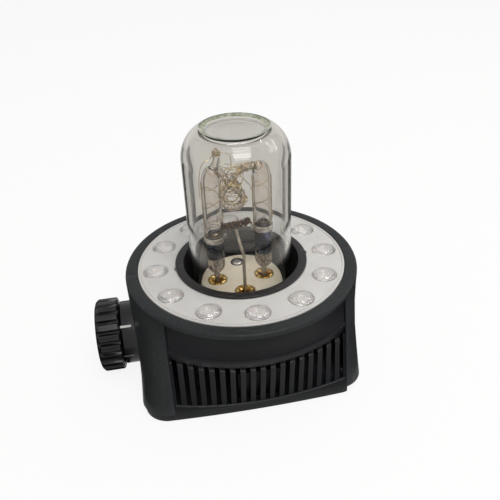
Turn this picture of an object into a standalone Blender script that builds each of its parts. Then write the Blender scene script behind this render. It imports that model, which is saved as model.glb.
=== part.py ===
"""Flash head of a portable strobe, as an assembly of separate pieces.

The origin is the centre of the resting face. +Z is up, -Y is the front with the bare label field,
and the clamp knob stands out at -X. The axis of the flash tube, the dome and the lamp ring is +Z.
"""

import math

import bmesh
import bpy
from mathutils import Matrix, Vector

MM = 0.001
GAP = 0.3 * MM

# Heights of the main levels
RING_TOP = 56.0 * MM
RIM_TOP = 55.6 * MM
LOFT_TOP = 53.0 * MM
LOFT_FOOT = 5.0 * MM
FLOOR_TOP = 32.0 * MM
TUBE_BASE_TOP = 46.0 * MM
DOME_TOP = 128.8 * MM
KNOB_HEIGHT = 19.8 * MM
FAN_HEIGHT = 21.0 * MM

# Housing: a circle at the rim, a rounded rectangle at the foot
RIM_RADIUS = 59.0 * MM
FOOT_SHIFT = -2.4 * MM
FOOT_HALF_X = 55.6 * MM
FOOT_HALF_Y = 50.0 * MM
FOOT_CORNER = 13.0 * MM
FRONT_BOW = 1.3 * MM
WALL = 2.4 * MM
SEAM = 0.4 * MM
SIDE_STEPS = 6
FRONT_STEPS = 12
CORNER_STEPS = 5

# Front and rear covers
COVER_CENTRE = 0.0
COVER_HALF = 43.0 * MM
COVER_TOP = 52.0 * MM
COVER_INSET = 0.2 * MM
COVER_WALL = 2.4 * MM
BAR_COUNT = 17
BAR_PITCH = 4.75 * MM
SLOT_WIDTH = 2.25 * MM
SLOT_LOW = 6.4 * MM
SLOT_HIGH = 33.2 * MM
SLOT_RISE = 4.0 * MM

# Lamp ring
RING_OUTER = 52.6 * MM
RING_INNER = 31.6 * MM
RING_THICK = 2.0 * MM
LED_COUNT = 12
LED_CIRCLE = 43.75 * MM
LED_HOLE = 6.0 * MM
LENS_RADIUS = 5.7 * MM
BOARD_TOP = 50.4 * MM
BOARD_THICK = 1.6 * MM
BOARD_INNER = 34.0 * MM
BOARD_OUTER = 52.0 * MM
FIN_COUNT = 12

# Well and dome
COLLAR_OUTER = 33.6 * MM
WELL_RADIUS = 29.3 * MM
WELL_WALL = 1.9 * MM
FLOOR_THICK = 1.8 * MM
DOME_RADIUS = 25.6 * MM
DOME_WALL = 2.5 * MM
DOME_CROWN = 2.0 * MM
DOME_FLAT = 16.4 * MM
DOME_SHOULDER = 16.0 * MM
DOME_FOOT = 34.6 * MM

# Tube base and flash tube
TUBE_BASE_RADIUS = 21.2 * MM
SOCKET_SPOTS = {"left": (-12.7 * MM, 0.6 * MM), "right": (12.1 * MM, 0.6 * MM),
                "front": (-0.4 * MM, -12.0 * MM)}
SCREW_SPOT = (0.0, 14.4 * MM)
SOCKET_TOP = 46.5 * MM
LEG_RADIUS = 4.5 * MM
LEG_BORE = 3.7 * MM
LEG_LOW = 52.5 * MM
LEG_HIGH = 101.0 * MM
LOOP_RADIUS = 2.0 * MM
LOOP_LOW = 87.7 * MM
LOOP_HALF = 4.9 * MM
LOOP_CENTRE = (-2.6 * MM, -6.0 * MM)
PIN_LOW = 33.5 * MM

# Clamp knob and what it drives
KNOB_RADIUS = 18.9 * MM
KNOB_OUTER = -77.6 * MM
KNOB_INNER = -65.3 * MM
BOSS_RADIUS = 16.4 * MM
BOSS_OUTER = -65.0 * MM
SPINDLE_RADIUS = 4.0 * MM
SPINDLE_TIP_RADIUS = 2.0 * MM

# Fan behind the rear cover
FAN_Y = 41.0 * MM
BLADE_COUNT = 7

# Underside
SPIGOT_RADIUS = 19.0 * MM
SPIGOT_CEILING = 25.0 * MM
PLINTH_INSET = 1.0 * MM
NOTCH_X = 43.9 * MM
NOTCH_Y = 36.0 * MM
POST_X = 50.6 * MM
POST_Y = 20.0 * MM
SCREW_BORE = 1.8 * MM

# Further than any point of the object, for tool shapes that cut right through
FAR = 90.0 * MM


def clear_scene():
    """Removes whatever the scene holds."""
    for thing in list(bpy.data.objects):
        bpy.data.objects.remove(thing)


def new_collection(name):
    """Adds an empty collection to the scene."""
    group = bpy.data.collections.new(name)
    bpy.context.scene.collection.children.link(group)
    return group


def finish(name, colour, roughness, metallic=0.0, alpha=1.0):
    """Makes a plain material."""
    made = bpy.data.materials.new(name)
    made.use_nodes = True
    shader = made.node_tree.nodes["Principled BSDF"]
    shader.inputs["Base Color"].default_value = (*colour, 1.0)
    shader.inputs["Roughness"].default_value = roughness
    shader.inputs["Metallic"].default_value = metallic
    shader.inputs["Alpha"].default_value = alpha
    return made


def place(name, data, material=None, location=(0.0, 0.0, 0.0)):
    """Puts a piece in the model, or a tool shape with the cutters where it has no material."""
    thing = bpy.data.objects.new(name, data)
    thing.location = location
    if material is None:
        CUTTERS.objects.link(thing)
        thing.hide_render = True
        thing.display_type = "WIRE"
    else:
        PARTS.objects.link(thing)
        data.materials.append(material)
    return thing


def to_mesh(name, shape):
    """Turns a bmesh into a mesh with soft shading below 35 degrees."""
    mesh = bpy.data.meshes.new(name)
    shape.to_mesh(mesh)
    shape.free()
    mesh.shade_smooth()
    mesh.set_sharp_from_angle(angle=math.radians(35))
    return mesh


def box(name, low, high, material=None, origin=(0.0, 0.0, 0.0)):
    """A box between two corners, with its object's origin at a given point."""
    low, high, origin = Vector(low), Vector(high), Vector(origin)
    shape = bmesh.new()
    bmesh.ops.create_cube(shape, size=1.0)
    bmesh.ops.scale(shape, vec=high - low, verts=shape.verts)
    bmesh.ops.translate(shape, vec=(low + high) / 2 - origin, verts=shape.verts)
    return place(name, to_mesh(name, shape), material, origin)


def rods(name, spots, radius, low, high, segments, axis="Z", material=None):
    """One or more equal cylinders at the given spots, as one tool shape or one piece."""
    shape = bmesh.new()
    for spot in spots:
        made = bmesh.ops.create_cone(shape, cap_ends=True, segments=segments, radius1=radius,
                                     radius2=radius, depth=high - low)
        lift = Matrix.Translation((spot[0], spot[1], (low + high) / 2))
        bmesh.ops.transform(shape, matrix=lift, verts=made["verts"])
    if axis == "X":
        bmesh.ops.rotate(shape, matrix=Matrix.Rotation(math.pi / 2, 3, "Y"), verts=shape.verts)
    if axis == "Y":
        bmesh.ops.rotate(shape, matrix=Matrix.Rotation(-math.pi / 2, 3, "X"), verts=shape.verts)
    return place(name, to_mesh(name, shape), material)


def turned(name, profile, material=None, steps=36, location=(0.0, 0.0, 0.0), tilt=(0.0, 0.0, 0.0),
           ring=False):
    """Turns (radius, height) points about local Z. The outer side runs from top to bottom."""
    mesh = bpy.data.meshes.new(name)
    links = [(i, i + 1) for i in range(len(profile) - 1)]
    if ring:
        links.append((len(profile) - 1, 0))
    mesh.from_pydata([(radius, 0.0, height) for radius, height in profile], links, [])
    thing = place(name, mesh, material, location)
    thing.rotation_euler = tilt
    turn = thing.modifiers.new("Turn", "SCREW")
    turn.steps = steps
    turn.render_steps = steps
    turn.use_merge_vertices = True
    turn.merge_threshold = 0.00001
    turn.use_smooth_shade = True
    return thing


def combine(target, tool, operation="DIFFERENCE"):
    """Cuts a tool from a piece, joins it on, or keeps what both share."""
    step = target.modifiers.new(tool.name, "BOOLEAN")
    step.operation = operation
    step.solver = "EXACT"
    step.object = tool


def smooth_route(points, per_span):
    """Points on a smooth curve that passes through every given point."""
    anchors = [Vector(point) for point in points]
    anchors = [2 * anchors[0] - anchors[1]] + anchors + [2 * anchors[-1] - anchors[-2]]
    route = []
    for a, b, c, d in zip(anchors, anchors[1:], anchors[2:], anchors[3:]):
        for step in range(per_span):
            t = step / per_span
            route.append(0.5 * (2 * b + (c - a) * t + (2 * a - 5 * b + 4 * c - d) * t ** 2
                                + (3 * b - a - 3 * c + d) * t ** 3))
    return route + [anchors[-2]]


def wire(name, route, radius, material, factors=None, sides=2):
    """A round wire or rod along a route, closed at both ends."""
    curve = bpy.data.curves.new(name, "CURVE")
    curve.dimensions = "3D"
    curve.bevel_depth = radius
    curve.bevel_resolution = sides
    curve.use_fill_caps = True
    spline = curve.splines.new("POLY")
    spline.points.add(len(route) - 1)
    for point, spot, factor in zip(spline.points, route, factors or [1.0] * len(route)):
        point.co = (*spot, 1.0)
        point.radius = factor
    return place(name, curve, material)


def as_mesh(thing, material=None):
    """Replaces a curve object by a closed mesh object that can be cut, joined or used as a tool."""
    bpy.context.view_layer.update()
    solid = bpy.data.meshes.new_from_object(thing.evaluated_get(bpy.context.evaluated_depsgraph_get()))
    shape = bmesh.new()
    shape.from_mesh(solid)
    bmesh.ops.remove_doubles(shape, verts=shape.verts, dist=0.000001)
    name = thing.name
    matrix = thing.matrix_world.copy()
    bpy.data.objects.remove(thing)
    mesh = to_mesh(name, shape)
    made = place(name, mesh, material)
    made.matrix_world = matrix
    return made


def foot_outline(inset):
    """Corner-rounded rectangle of the foot, counter-clockwise, about the middle of the foot."""
    reach_x = FOOT_HALF_X - FOOT_CORNER
    reach_y = FOOT_HALF_Y - FOOT_CORNER
    radius = FOOT_CORNER - inset
    points = []
    for side, (sign_x, sign_y) in enumerate(((1, 1), (-1, 1), (-1, -1), (1, -1))):
        for step in range(CORNER_STEPS + 1):
            angle = math.radians(90 * side + 90 * step / CORNER_STEPS)
            points.append((sign_x * reach_x + radius * math.cos(angle),
                           sign_y * reach_y + radius * math.sin(angle)))
        steps = FRONT_STEPS if side % 2 == 0 else SIDE_STEPS
        for step in range(1, steps):
            share = 1 - 2 * step / steps
            if side % 2 == 0:
                bow = FRONT_BOW * (1 - share ** 2)
                points.append((sign_x * reach_x * share, sign_y * (reach_y + radius + bow)))
            else:
                points.append((sign_x * (reach_x + radius), sign_y * reach_y * share))
    return points


def housing_ring(inset, height):
    """Outline of the housing at a height, moved inward by an inset."""
    share = max(0.0, (LOFT_TOP - height) / (LOFT_TOP - LOFT_FOOT))
    ring = []
    for (base_x, base_y), (x, y) in zip(foot_outline(0.0), foot_outline(inset)):
        angle = math.atan2(base_y, base_x)
        round_x = (RIM_RADIUS - inset) * math.cos(angle)
        round_y = (RIM_RADIUS - inset) * math.sin(angle)
        ring.append((round_x * (1 - share) + (x + FOOT_SHIFT) * share,
                     round_y * (1 - share) + y * share, height))
    return ring


def loft(name, rings, material=None, location=(0.0, 0.0, 0.0)):
    """Skins a stack of equal-count outlines from bottom to top and closes both ends."""
    shape = bmesh.new()
    loops = [[shape.verts.new(point) for point in ring] for ring in rings]
    for lower, upper in zip(loops, loops[1:]):
        for a, b, c, d in zip(lower, lower[1:] + lower[:1], upper[1:] + upper[:1], upper):
            shape.faces.new((a, b, c, d))
    shape.faces.new(loops[0][::-1])
    shape.faces.new(loops[-1])
    bmesh.ops.triangulate(shape, faces=shape.faces)
    return place(name, to_mesh(name, shape), material, location)


def housing_solid(name, inset, low, high, material=None):
    """A plain solid with the housing's own flank, between two heights."""
    levels = [low] + [level for level in (LOFT_TOP,) if low < level < high] + [high]
    return loft(name, [housing_ring(inset, level) for level in levels], material)


def shell_tools():
    """The shapes that hollow and open the housing, shared by its two halves."""
    cavity = housing_solid("cavity", WALL, 0.0, 51.4 * MM)
    seat = RING_TOP - RING_THICK - GAP
    seat_radius = RING_OUTER - 2 * MM
    profile = [(0, FAR), (RING_OUTER + GAP, FAR), (RING_OUTER + GAP, seat), (seat_radius, seat),
               (seat_radius, 45 * MM), (0, 45 * MM)]
    mouth = turned("mouth", profile, steps=48)
    posts = [(FOOT_SHIFT + sign * POST_X, POST_Y) for sign in (-1, 1)]
    bore = rods("boss_hole", [(-KNOB_HEIGHT, 0.0)], 11.9 * MM, -FAR, -40 * MM, 32, axis="X")
    return cavity, mouth, posts, bore


def housing_half(name, side, tools, material):
    """One half of the housing: side -1 is the front, +1 the rear."""
    cavity, mouth, posts, bore = tools
    edge = [(0.0, LOFT_FOOT), (0.0, LOFT_TOP), (0.0, RIM_TOP - 1.3 * MM), (0.4 * MM, RIM_TOP - 0.4 * MM),
            (1.3 * MM, RIM_TOP)]
    half = loft(name, [housing_ring(inset, level) for inset, level in edge], material)
    combine(half, cavity)
    spots = [(x, side * y) for x, y in posts]
    combine(half, rods(name + "_posts", spots, 4.0 * MM, LOFT_FOOT, 14 * MM, 12), "UNION")
    combine(half, rods(name + "_pilots", spots, SCREW_BORE, 0.0, 13 * MM, 8))
    combine(half, mouth)
    low, high = (-SEAM / 2, FAR) if side < 0 else (-FAR, SEAM / 2)
    combine(half, box(name + "_split", (-FAR, low, -FAR), (FAR, high, FAR)))
    reach = COVER_HALF + GAP
    front, back = sorted((side * 20 * MM, side * FAR))
    combine(half, box(name + "_window", (COVER_CENTRE - reach, front, -FAR),
                      (COVER_CENTRE + reach, back, COVER_TOP + GAP)))
    combine(half, bore)
    return half


def cover(name, side, material):
    """Vented cover in the window of a housing half. The vents lie lower in the middle than at its ends."""
    panel = housing_solid(name, COVER_INSET, LOFT_FOOT, COVER_TOP, material)
    combine(panel, housing_solid(name + "_inside", COVER_INSET + COVER_WALL, 0.0, FAR))
    front, back = sorted((side * 25 * MM, side * FAR))
    combine(panel, box(name + "_extent", (COVER_CENTRE - COVER_HALF, front, 0.0),
                       (COVER_CENTRE + COVER_HALF, back, COVER_TOP + GAP)), "INTERSECT")
    shape = bmesh.new()
    for slot in range(BAR_COUNT + 1):
        centre = COVER_CENTRE + (slot - BAR_COUNT / 2) * BAR_PITCH
        rise = SLOT_RISE * (2 * slot / BAR_COUNT - 1) ** 2
        made = bmesh.ops.create_cube(shape, size=1.0)
        size = (SLOT_WIDTH, 60 * MM, SLOT_HIGH - SLOT_LOW)
        bmesh.ops.scale(shape, vec=size, verts=made["verts"])
        spot = (centre, side * 55 * MM, (SLOT_LOW + SLOT_HIGH) / 2 + rise)
        bmesh.ops.translate(shape, vec=spot, verts=made["verts"])
    combine(panel, place(name + "_slots", to_mesh(name + "_slots", shape)))
    return panel


def ring_spots(count, radius):
    """Evenly spaced places on a circle, from +X on."""
    turns = [2 * math.pi * index / count for index in range(count)]
    return [(radius * math.cos(turn), radius * math.sin(turn)) for turn in turns]


def lamp_spots():
    """Centres of the twelve lamps."""
    return ring_spots(LED_COUNT, LED_CIRCLE)


def reflector_ring(material):
    """White ring with a hole for each lamp."""
    low = RING_TOP - RING_THICK
    edge = 0.4 * MM
    profile = [(RING_INNER, RING_TOP), (RING_OUTER - edge, RING_TOP), (RING_OUTER, RING_TOP - edge),
               (RING_OUTER, low), (RING_INNER, low)]
    ring = turned("reflector_ring", profile, material, ring=True)
    combine(ring, rods("lamp_holes", lamp_spots(), LED_HOLE, low - MM, RING_TOP + MM, 12))


def lamp_lenses(material):
    """Twelve domed lenses that collimate the lamps."""
    low = BOARD_TOP + 1.3 * MM
    rim = RING_TOP - 0.1 * MM
    profile = [(0, RING_TOP + 1.3 * MM), (2.8 * MM, RING_TOP + MM), (4.8 * MM, RING_TOP + 0.2 * MM),
               (LENS_RADIUS, rim), (LENS_RADIUS, rim - 1.4 * MM), (2.6 * MM, low), (0, low)]
    for index, spot in enumerate(lamp_spots(), 1):
        turned("led_lens_%02d" % index, profile, material, steps=12, location=(*spot, 0.0))


def led_board(material):
    """Ring circuit board with the lamps soldered on it."""
    low = BOARD_TOP - BOARD_THICK
    profile = [(BOARD_INNER, BOARD_TOP), (BOARD_OUTER, BOARD_TOP), (BOARD_OUTER, low), (BOARD_INNER, low)]
    board = turned("led_board", profile, material, ring=True)
    half = 1.75 * MM
    shape = bmesh.new()
    for x, y in lamp_spots():
        made = bmesh.ops.create_cube(shape, size=2 * half)
        bmesh.ops.scale(shape, vec=(1, 1, 0.5), verts=made["verts"])
        bmesh.ops.translate(shape, vec=(x, y, BOARD_TOP + 0.1 * MM), verts=made["verts"])
    combine(board, place("lamp_chips", to_mesh("lamp_chips", shape)), "UNION")


def heat_sink(material):
    """Ring plate with radial fins below the lamp board."""
    top = BOARD_TOP - BOARD_THICK - GAP
    low = top - 2.9 * MM
    outer = BOARD_OUTER + MM
    profile = [(BOARD_INNER, top), (outer, top), (outer, low), (BOARD_INNER, low)]
    sink = turned("heat_sink", profile, material, ring=True)
    shape = bmesh.new()
    for index in range(FIN_COUNT):
        made = bmesh.ops.create_cube(shape, size=1.0)
        bmesh.ops.scale(shape, vec=(15 * MM, 1.6 * MM, 8 * MM), verts=made["verts"])
        bmesh.ops.translate(shape, vec=(44 * MM, 0, low - 3 * MM), verts=made["verts"])
        turn = Matrix.Rotation(2 * math.pi * (index + 0.5) / FIN_COUNT, 3, "Z")
        bmesh.ops.rotate(shape, matrix=turn, verts=made["verts"])
    combine(sink, place("fins", to_mesh("fins", shape)), "UNION")


def well_collar(material):
    """Black collar, with the wall and the floor of the well in one moulding."""
    top = RING_TOP + 1.2 * MM
    wall = WELL_RADIUS + WELL_WALL
    low = FLOOR_TOP - FLOOR_THICK
    edge = 0.5 * MM
    inner = [(0, FLOOR_TOP), (WELL_RADIUS, FLOOR_TOP), (WELL_RADIUS, top - edge)]
    outer = [(WELL_RADIUS + edge, top), (COLLAR_OUTER - edge, top), (COLLAR_OUTER, top - edge),
             (COLLAR_OUTER, RING_TOP + GAP), (wall, RING_TOP + GAP), (wall, low), (0, low)]
    collar = turned("well_collar", inner + outer, material)
    holes = list(SOCKET_SPOTS.values())
    combine(collar, rods("tail_holes", holes, 4.0 * MM, low - MM, FLOOR_TOP + MM, 12))
    combine(collar, rods("floor_screw_hole", [SCREW_SPOT], SCREW_BORE, low - MM, FLOOR_TOP + MM, 8))


def tube_base(ceramic, steel):
    """Ceramic disc that carries the sockets, and its screw."""
    low = FLOOR_TOP + GAP
    top = TUBE_BASE_TOP
    profile = [(0, top), (TUBE_BASE_RADIUS - 0.6 * MM, top), (TUBE_BASE_RADIUS, top - 0.6 * MM),
               (TUBE_BASE_RADIUS, low), (0, low)]
    base = turned("tube_base", profile, ceramic, steps=30)
    spots = list(SOCKET_SPOTS.values())
    combine(base, rods("socket_bores", spots, 3.7 * MM, low - MM, top + MM, 14))
    combine(base, rods("socket_seats", spots, 5.2 * MM, top - 1.6 * MM, top + MM, 14))
    combine(base, rods("screw_bore", [SCREW_SPOT], SCREW_BORE, low - MM, top + MM, 8))
    combine(base, rods("screw_seat", [SCREW_SPOT], 3.75 * MM, top - 3 * MM, top + MM, 14))
    head = top - 0.5 * MM
    seat = top - 2.7 * MM
    shank = 1.5 * MM
    end = 28 * MM
    profile = [(0, head), (1.8 * MM, head), (3.0 * MM, head - 0.8 * MM), (3.0 * MM, seat), (shank, seat),
               (shank, end), (0, end)]
    screw = turned("tube_base_screw", profile, steel, steps=14, location=(*SCREW_SPOT, 0.0))
    long, short = 1.9 * MM, 0.4 * MM
    for index, (x, y) in enumerate(((long, short), (short, long))):
        cross = box("cross_%d" % index, (-x, -y, head - 1.2 * MM), (x, y, head + MM))
        cross.location = (*SCREW_SPOT, 0.0)
        combine(screw, cross)


def sockets(brass):
    """Slotted spring contacts for the tube's three pins."""
    seat = TUBE_BASE_TOP - 1.3 * MM
    tail = 27.5 * MM
    tail_radius = 3.4 * MM
    bore = 1.7 * MM
    bore_low = PIN_LOW - 1.5 * MM
    edge = 0.6 * MM
    flange = 4.9 * MM
    profile = [(0, bore_low), (bore, bore_low), (bore, SOCKET_TOP - edge), (bore + edge, SOCKET_TOP),
               (flange - edge, SOCKET_TOP), (flange, SOCKET_TOP - edge), (flange, seat), (tail_radius, seat),
               (tail_radius, tail), (0, tail)]
    for side, (x, y) in SOCKET_SPOTS.items():
        socket = turned("socket_" + side, profile, brass, steps=16, location=(x, y, 0.0))
        for index in range(2):
            half = 0.4 * MM
            slot = box("slot_%s_%d" % (side, index), (-6 * MM, -half, seat + 0.2 * MM), (6 * MM, half, FAR))
            slot.rotation_euler = (0, 0, math.pi / 4 + index * math.pi / 2)
            slot.location = (x, y, 0.0)
            combine(socket, slot)


def tube_route():
    """Centre line of the glass tube with a thickness factor for each point, from left pin to right pin."""
    left, leg_y = SOCKET_SPOTS["left"]
    middle, loop_y = LOOP_CENTRE
    reach = middle - LOOP_HALF
    thin = LOOP_RADIUS / LEG_RADIUS
    leg = [(left, leg_y, LEG_LOW, 0.5), (left, leg_y, LEG_LOW + 1.2 * MM, 0.82),
           (left, leg_y, LEG_LOW + 3 * MM, 0.96), (left, leg_y, LEG_LOW + 5.5 * MM, 1.0),
           (left, leg_y, LEG_HIGH, 1.0), (left + 0.2 * MM, leg_y, LEG_HIGH + 4 * MM, 0.97),
           (left + 0.8 * MM, leg_y - 0.2 * MM, LEG_HIGH + 6.4 * MM, 0.78)]
    arch = [(left + 2.2 * MM, leg_y - 1.0 * MM, LEG_HIGH + 7.4 * MM, thin),
            (reach - 1.2 * MM, -3.0 * MM, LEG_HIGH + 6.2 * MM, thin),
            (reach - 0.2 * MM, loop_y + 1.6 * MM, LEG_HIGH + 2.6 * MM, thin),
            (reach, loop_y, LEG_HIGH - 2.6 * MM, thin)]
    bend = []
    for step in range(5):
        angle = math.pi * (1 + step / 8)
        bend.append((middle + LOOP_HALF * math.cos(angle), loop_y - MM,
                     LOOP_LOW + LOOP_HALF + LOOP_HALF * math.sin(angle), thin))
    half = leg + arch + bend
    right = SOCKET_SPOTS["right"][0]
    stretch = (right - middle) / (middle - left)
    other = [(middle + (middle - x) * (stretch if abs(y - loop_y) > 2 * MM else 1.0), y, z, factor)
             for x, y, z, factor in half[:-1]]
    return half + other[::-1]


def flash_tube(glass):
    """Glass discharge tube: two wide legs, a narrow hanging loop, and the sealed tip of the left leg."""
    route = tube_route()
    body = as_mesh(wire("flash_tube", [point[:3] for point in route], LEG_RADIUS, glass,
                        factors=[point[3] for point in route], sides=3), glass)
    left, leg_y = SOCKET_SPOTS["left"]
    tip = [(left + 1.2 * MM, leg_y, LEG_HIGH + 4.6 * MM),
           (left + 2.8 * MM, leg_y - 0.4 * MM, LEG_HIGH + 10 * MM),
           (left + 3.7 * MM, leg_y - 0.8 * MM, LEG_HIGH + 14 * MM),
           (left + 3.8 * MM, leg_y - 0.8 * MM, LEG_HIGH + 20.4 * MM)]
    tip = as_mesh(wire("tip", tip, 2.6 * MM, glass, factors=[1.0, 0.75, 0.55, 0.3]))
    combine(body, tip, "UNION")
    legs = [SOCKET_SPOTS["left"], SOCKET_SPOTS["right"]]
    combine(body, rods("leg_bores", legs, LEG_BORE, LEG_LOW - 2 * MM, LEG_LOW + 25 * MM, 12))


def electrodes(metal):
    """Plug pin, seal and electrode in the foot of each leg."""
    pin, seal, core = 1.3 * MM, 1.5 * MM, 3.3 * MM
    foot = LEG_LOW - 1.0 * MM
    top = LEG_LOW + 23 * MM
    profile = [(0, top), (1.6 * MM, top), (core, top - 2 * MM), (core, LEG_LOW + 8 * MM),
               (seal, LEG_LOW + 5 * MM), (seal, LEG_LOW + 2 * MM), (3.0 * MM, LEG_LOW + 0.6 * MM),
               (1.9 * MM, foot), (pin, foot - 1.2 * MM), (pin, PIN_LOW), (0, PIN_LOW)]
    for side in ("left", "right"):
        turned("electrode_" + side, profile, metal, steps=12, location=(*SOCKET_SPOTS[side], 0.0))


def bands(metal):
    """Metal bands that clip the trigger coil to the legs."""
    inner = LEG_RADIUS + GAP
    outer = inner + 0.5 * MM
    for side, height in (("left", 71.5 * MM), ("right", 75.0 * MM)):
        low, high = height - 1.5 * MM, height + 1.5 * MM
        profile = [(inner, high), (outer, high), (outer, low), (inner, low)]
        turned("clip_" + side, profile, metal, steps=16, location=(*SOCKET_SPOTS[side], 0.0), ring=True)


def winding(leg, start, low, high):
    """Turns of the trigger wire round a leg, from a start angle in degrees and between two heights."""
    steps, turns = 20, 2.4
    radius = LEG_RADIUS + 0.65 * MM
    route = []
    for step in range(steps + 1):
        angle = math.radians(start + 360 * turns * step / steps)
        route.append((leg[0] + radius * math.cos(angle), leg[1] + radius * math.sin(angle),
                      low + (high - low) * step / steps))
    return route


def trigger_parts(steel, copper, nickel):
    """Plug rod, coil between the legs, and the thin wire wound round the tube."""
    x, y = SOCKET_SPOTS["front"]
    rod = [(x, y, PIN_LOW), (x, y, 64.4 * MM), (x + 0.2 * MM, y + 0.3 * MM, 66.2 * MM),
           (x - 1.0 * MM, y + 6.0 * MM, 72.2 * MM), (x - 1.4 * MM, y + 9.4 * MM, 75.0 * MM)]
    wire("trigger_rod", rod, 0.8 * MM, steel, sides=1)
    left, right = SOCKET_SPOTS["left"], SOCKET_SPOTS["right"]
    start, end = left[0] + LEG_RADIUS + 0.6 * MM, right[0] - LEG_RADIUS - 1.4 * MM
    coil = []
    for step in range(7):
        share = step / 6
        sag = 0.9 * MM * math.sin(math.pi * share)
        coil.append((start + (end - start) * share, left[1] + 0.2 * MM, 77.7 * MM + 1.2 * MM * share - sag))
    wire("trigger_coil", coil, 1.4 * MM, copper)
    route = winding(left, 200, 80 * MM, 100 * MM)
    back_y = left[1] + 6 * MM
    route += [(left[0] + 4.4 * MM, left[1] + 5.6 * MM, 103 * MM), (-4 * MM, back_y, 105 * MM),
              (4 * MM, back_y, 105 * MM)]
    route += winding(right, -24, 80 * MM, 101 * MM)[::-1]
    wire("trigger_wire", route, 0.28 * MM, nickel, sides=0)


def glass_dome(glass, silicone):
    """Clear cover with a flat crown, and the silicone seat under it."""
    steps = 5
    edge = math.acos(1 - (DOME_RADIUS - DOME_FLAT) / DOME_SHOULDER)
    spring = DOME_TOP - DOME_SHOULDER * math.sin(edge)
    centre = DOME_RADIUS - DOME_SHOULDER
    outer = [(0, DOME_TOP)]
    for step in range(steps + 1):
        angle = edge * (1 - step / steps)
        outer.append((centre + DOME_SHOULDER * math.cos(angle), spring + DOME_SHOULDER * math.sin(angle)))
    outer += [(DOME_RADIUS, DOME_FOOT + 0.8 * MM), (DOME_RADIUS - 0.8 * MM, DOME_FOOT)]
    inner_radius = DOME_RADIUS - DOME_WALL
    inner_arc = DOME_SHOULDER - DOME_WALL
    top = DOME_TOP - DOME_CROWN
    inner = [(inner_radius, DOME_FOOT)]
    rise = math.asin(min(1.0, (top - spring) / inner_arc))
    for step in range(steps + 1):
        angle = rise * step / steps
        inner.append((centre + inner_arc * math.cos(angle), spring + inner_arc * math.sin(angle)))
    inner.append((0, top))
    turned("glass_dome", outer + inner, glass, steps=32)
    foot = FLOOR_TOP + GAP
    lip = inner_radius - GAP
    hold = TUBE_BASE_RADIUS + GAP
    flange = DOME_RADIUS + 2 * MM
    profile = [(hold, 42 * MM), (lip - 0.5 * MM, 42 * MM), (lip, 41 * MM), (lip, DOME_FOOT - GAP),
               (flange, DOME_FOOT - GAP), (flange, foot), (hold, foot)]
    turned("dome_seal", profile, silicone, steps=28, ring=True)


def knob_rings():
    """Stations along the knob: distance along X, radius of the rib tops, and depth of the grooves."""
    bore = SPINDLE_RADIUS + GAP
    return [(KNOB_INNER - 9 * MM, bore, 0.0), (KNOB_INNER, bore, 0.0), (KNOB_INNER, KNOB_RADIUS - 1.8 * MM, 0.0),
            (KNOB_INNER - MM, KNOB_RADIUS, 1.2 * MM), (KNOB_OUTER + 1.9 * MM, KNOB_RADIUS, 1.2 * MM),
            (KNOB_OUTER + 0.7 * MM, KNOB_RADIUS - MM, 0.6 * MM), (KNOB_OUTER, KNOB_RADIUS - 3 * MM, 0.0),
            (KNOB_OUTER, 8.6 * MM, 0.0), (KNOB_OUTER + MM, 8.6 * MM, 0.0)]


def clamp_knob(plastic):
    """Fluted knob, with its origin on its own axis."""
    ribs = 22
    rings = []
    for along, radius, groove in knob_rings():
        ring = []
        for step in range(2 * ribs):
            angle = math.pi * step / ribs
            reach = radius - (groove if step % 2 else 0.0)
            ring.append((along, reach * math.cos(angle), reach * math.sin(angle)))
        rings.append(ring)
    loft("clamp_knob", rings[::-1], plastic, location=(0.0, 0.0, KNOB_HEIGHT))


def turned_x(name, profile, material, steps=32):
    """Turns (radius, distance) points about the knob's axis. Distances are along +X."""
    return turned(name, profile, material, steps, (0.0, 0.0, KNOB_HEIGHT), (0.0, math.pi / 2, 0.0))


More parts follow.
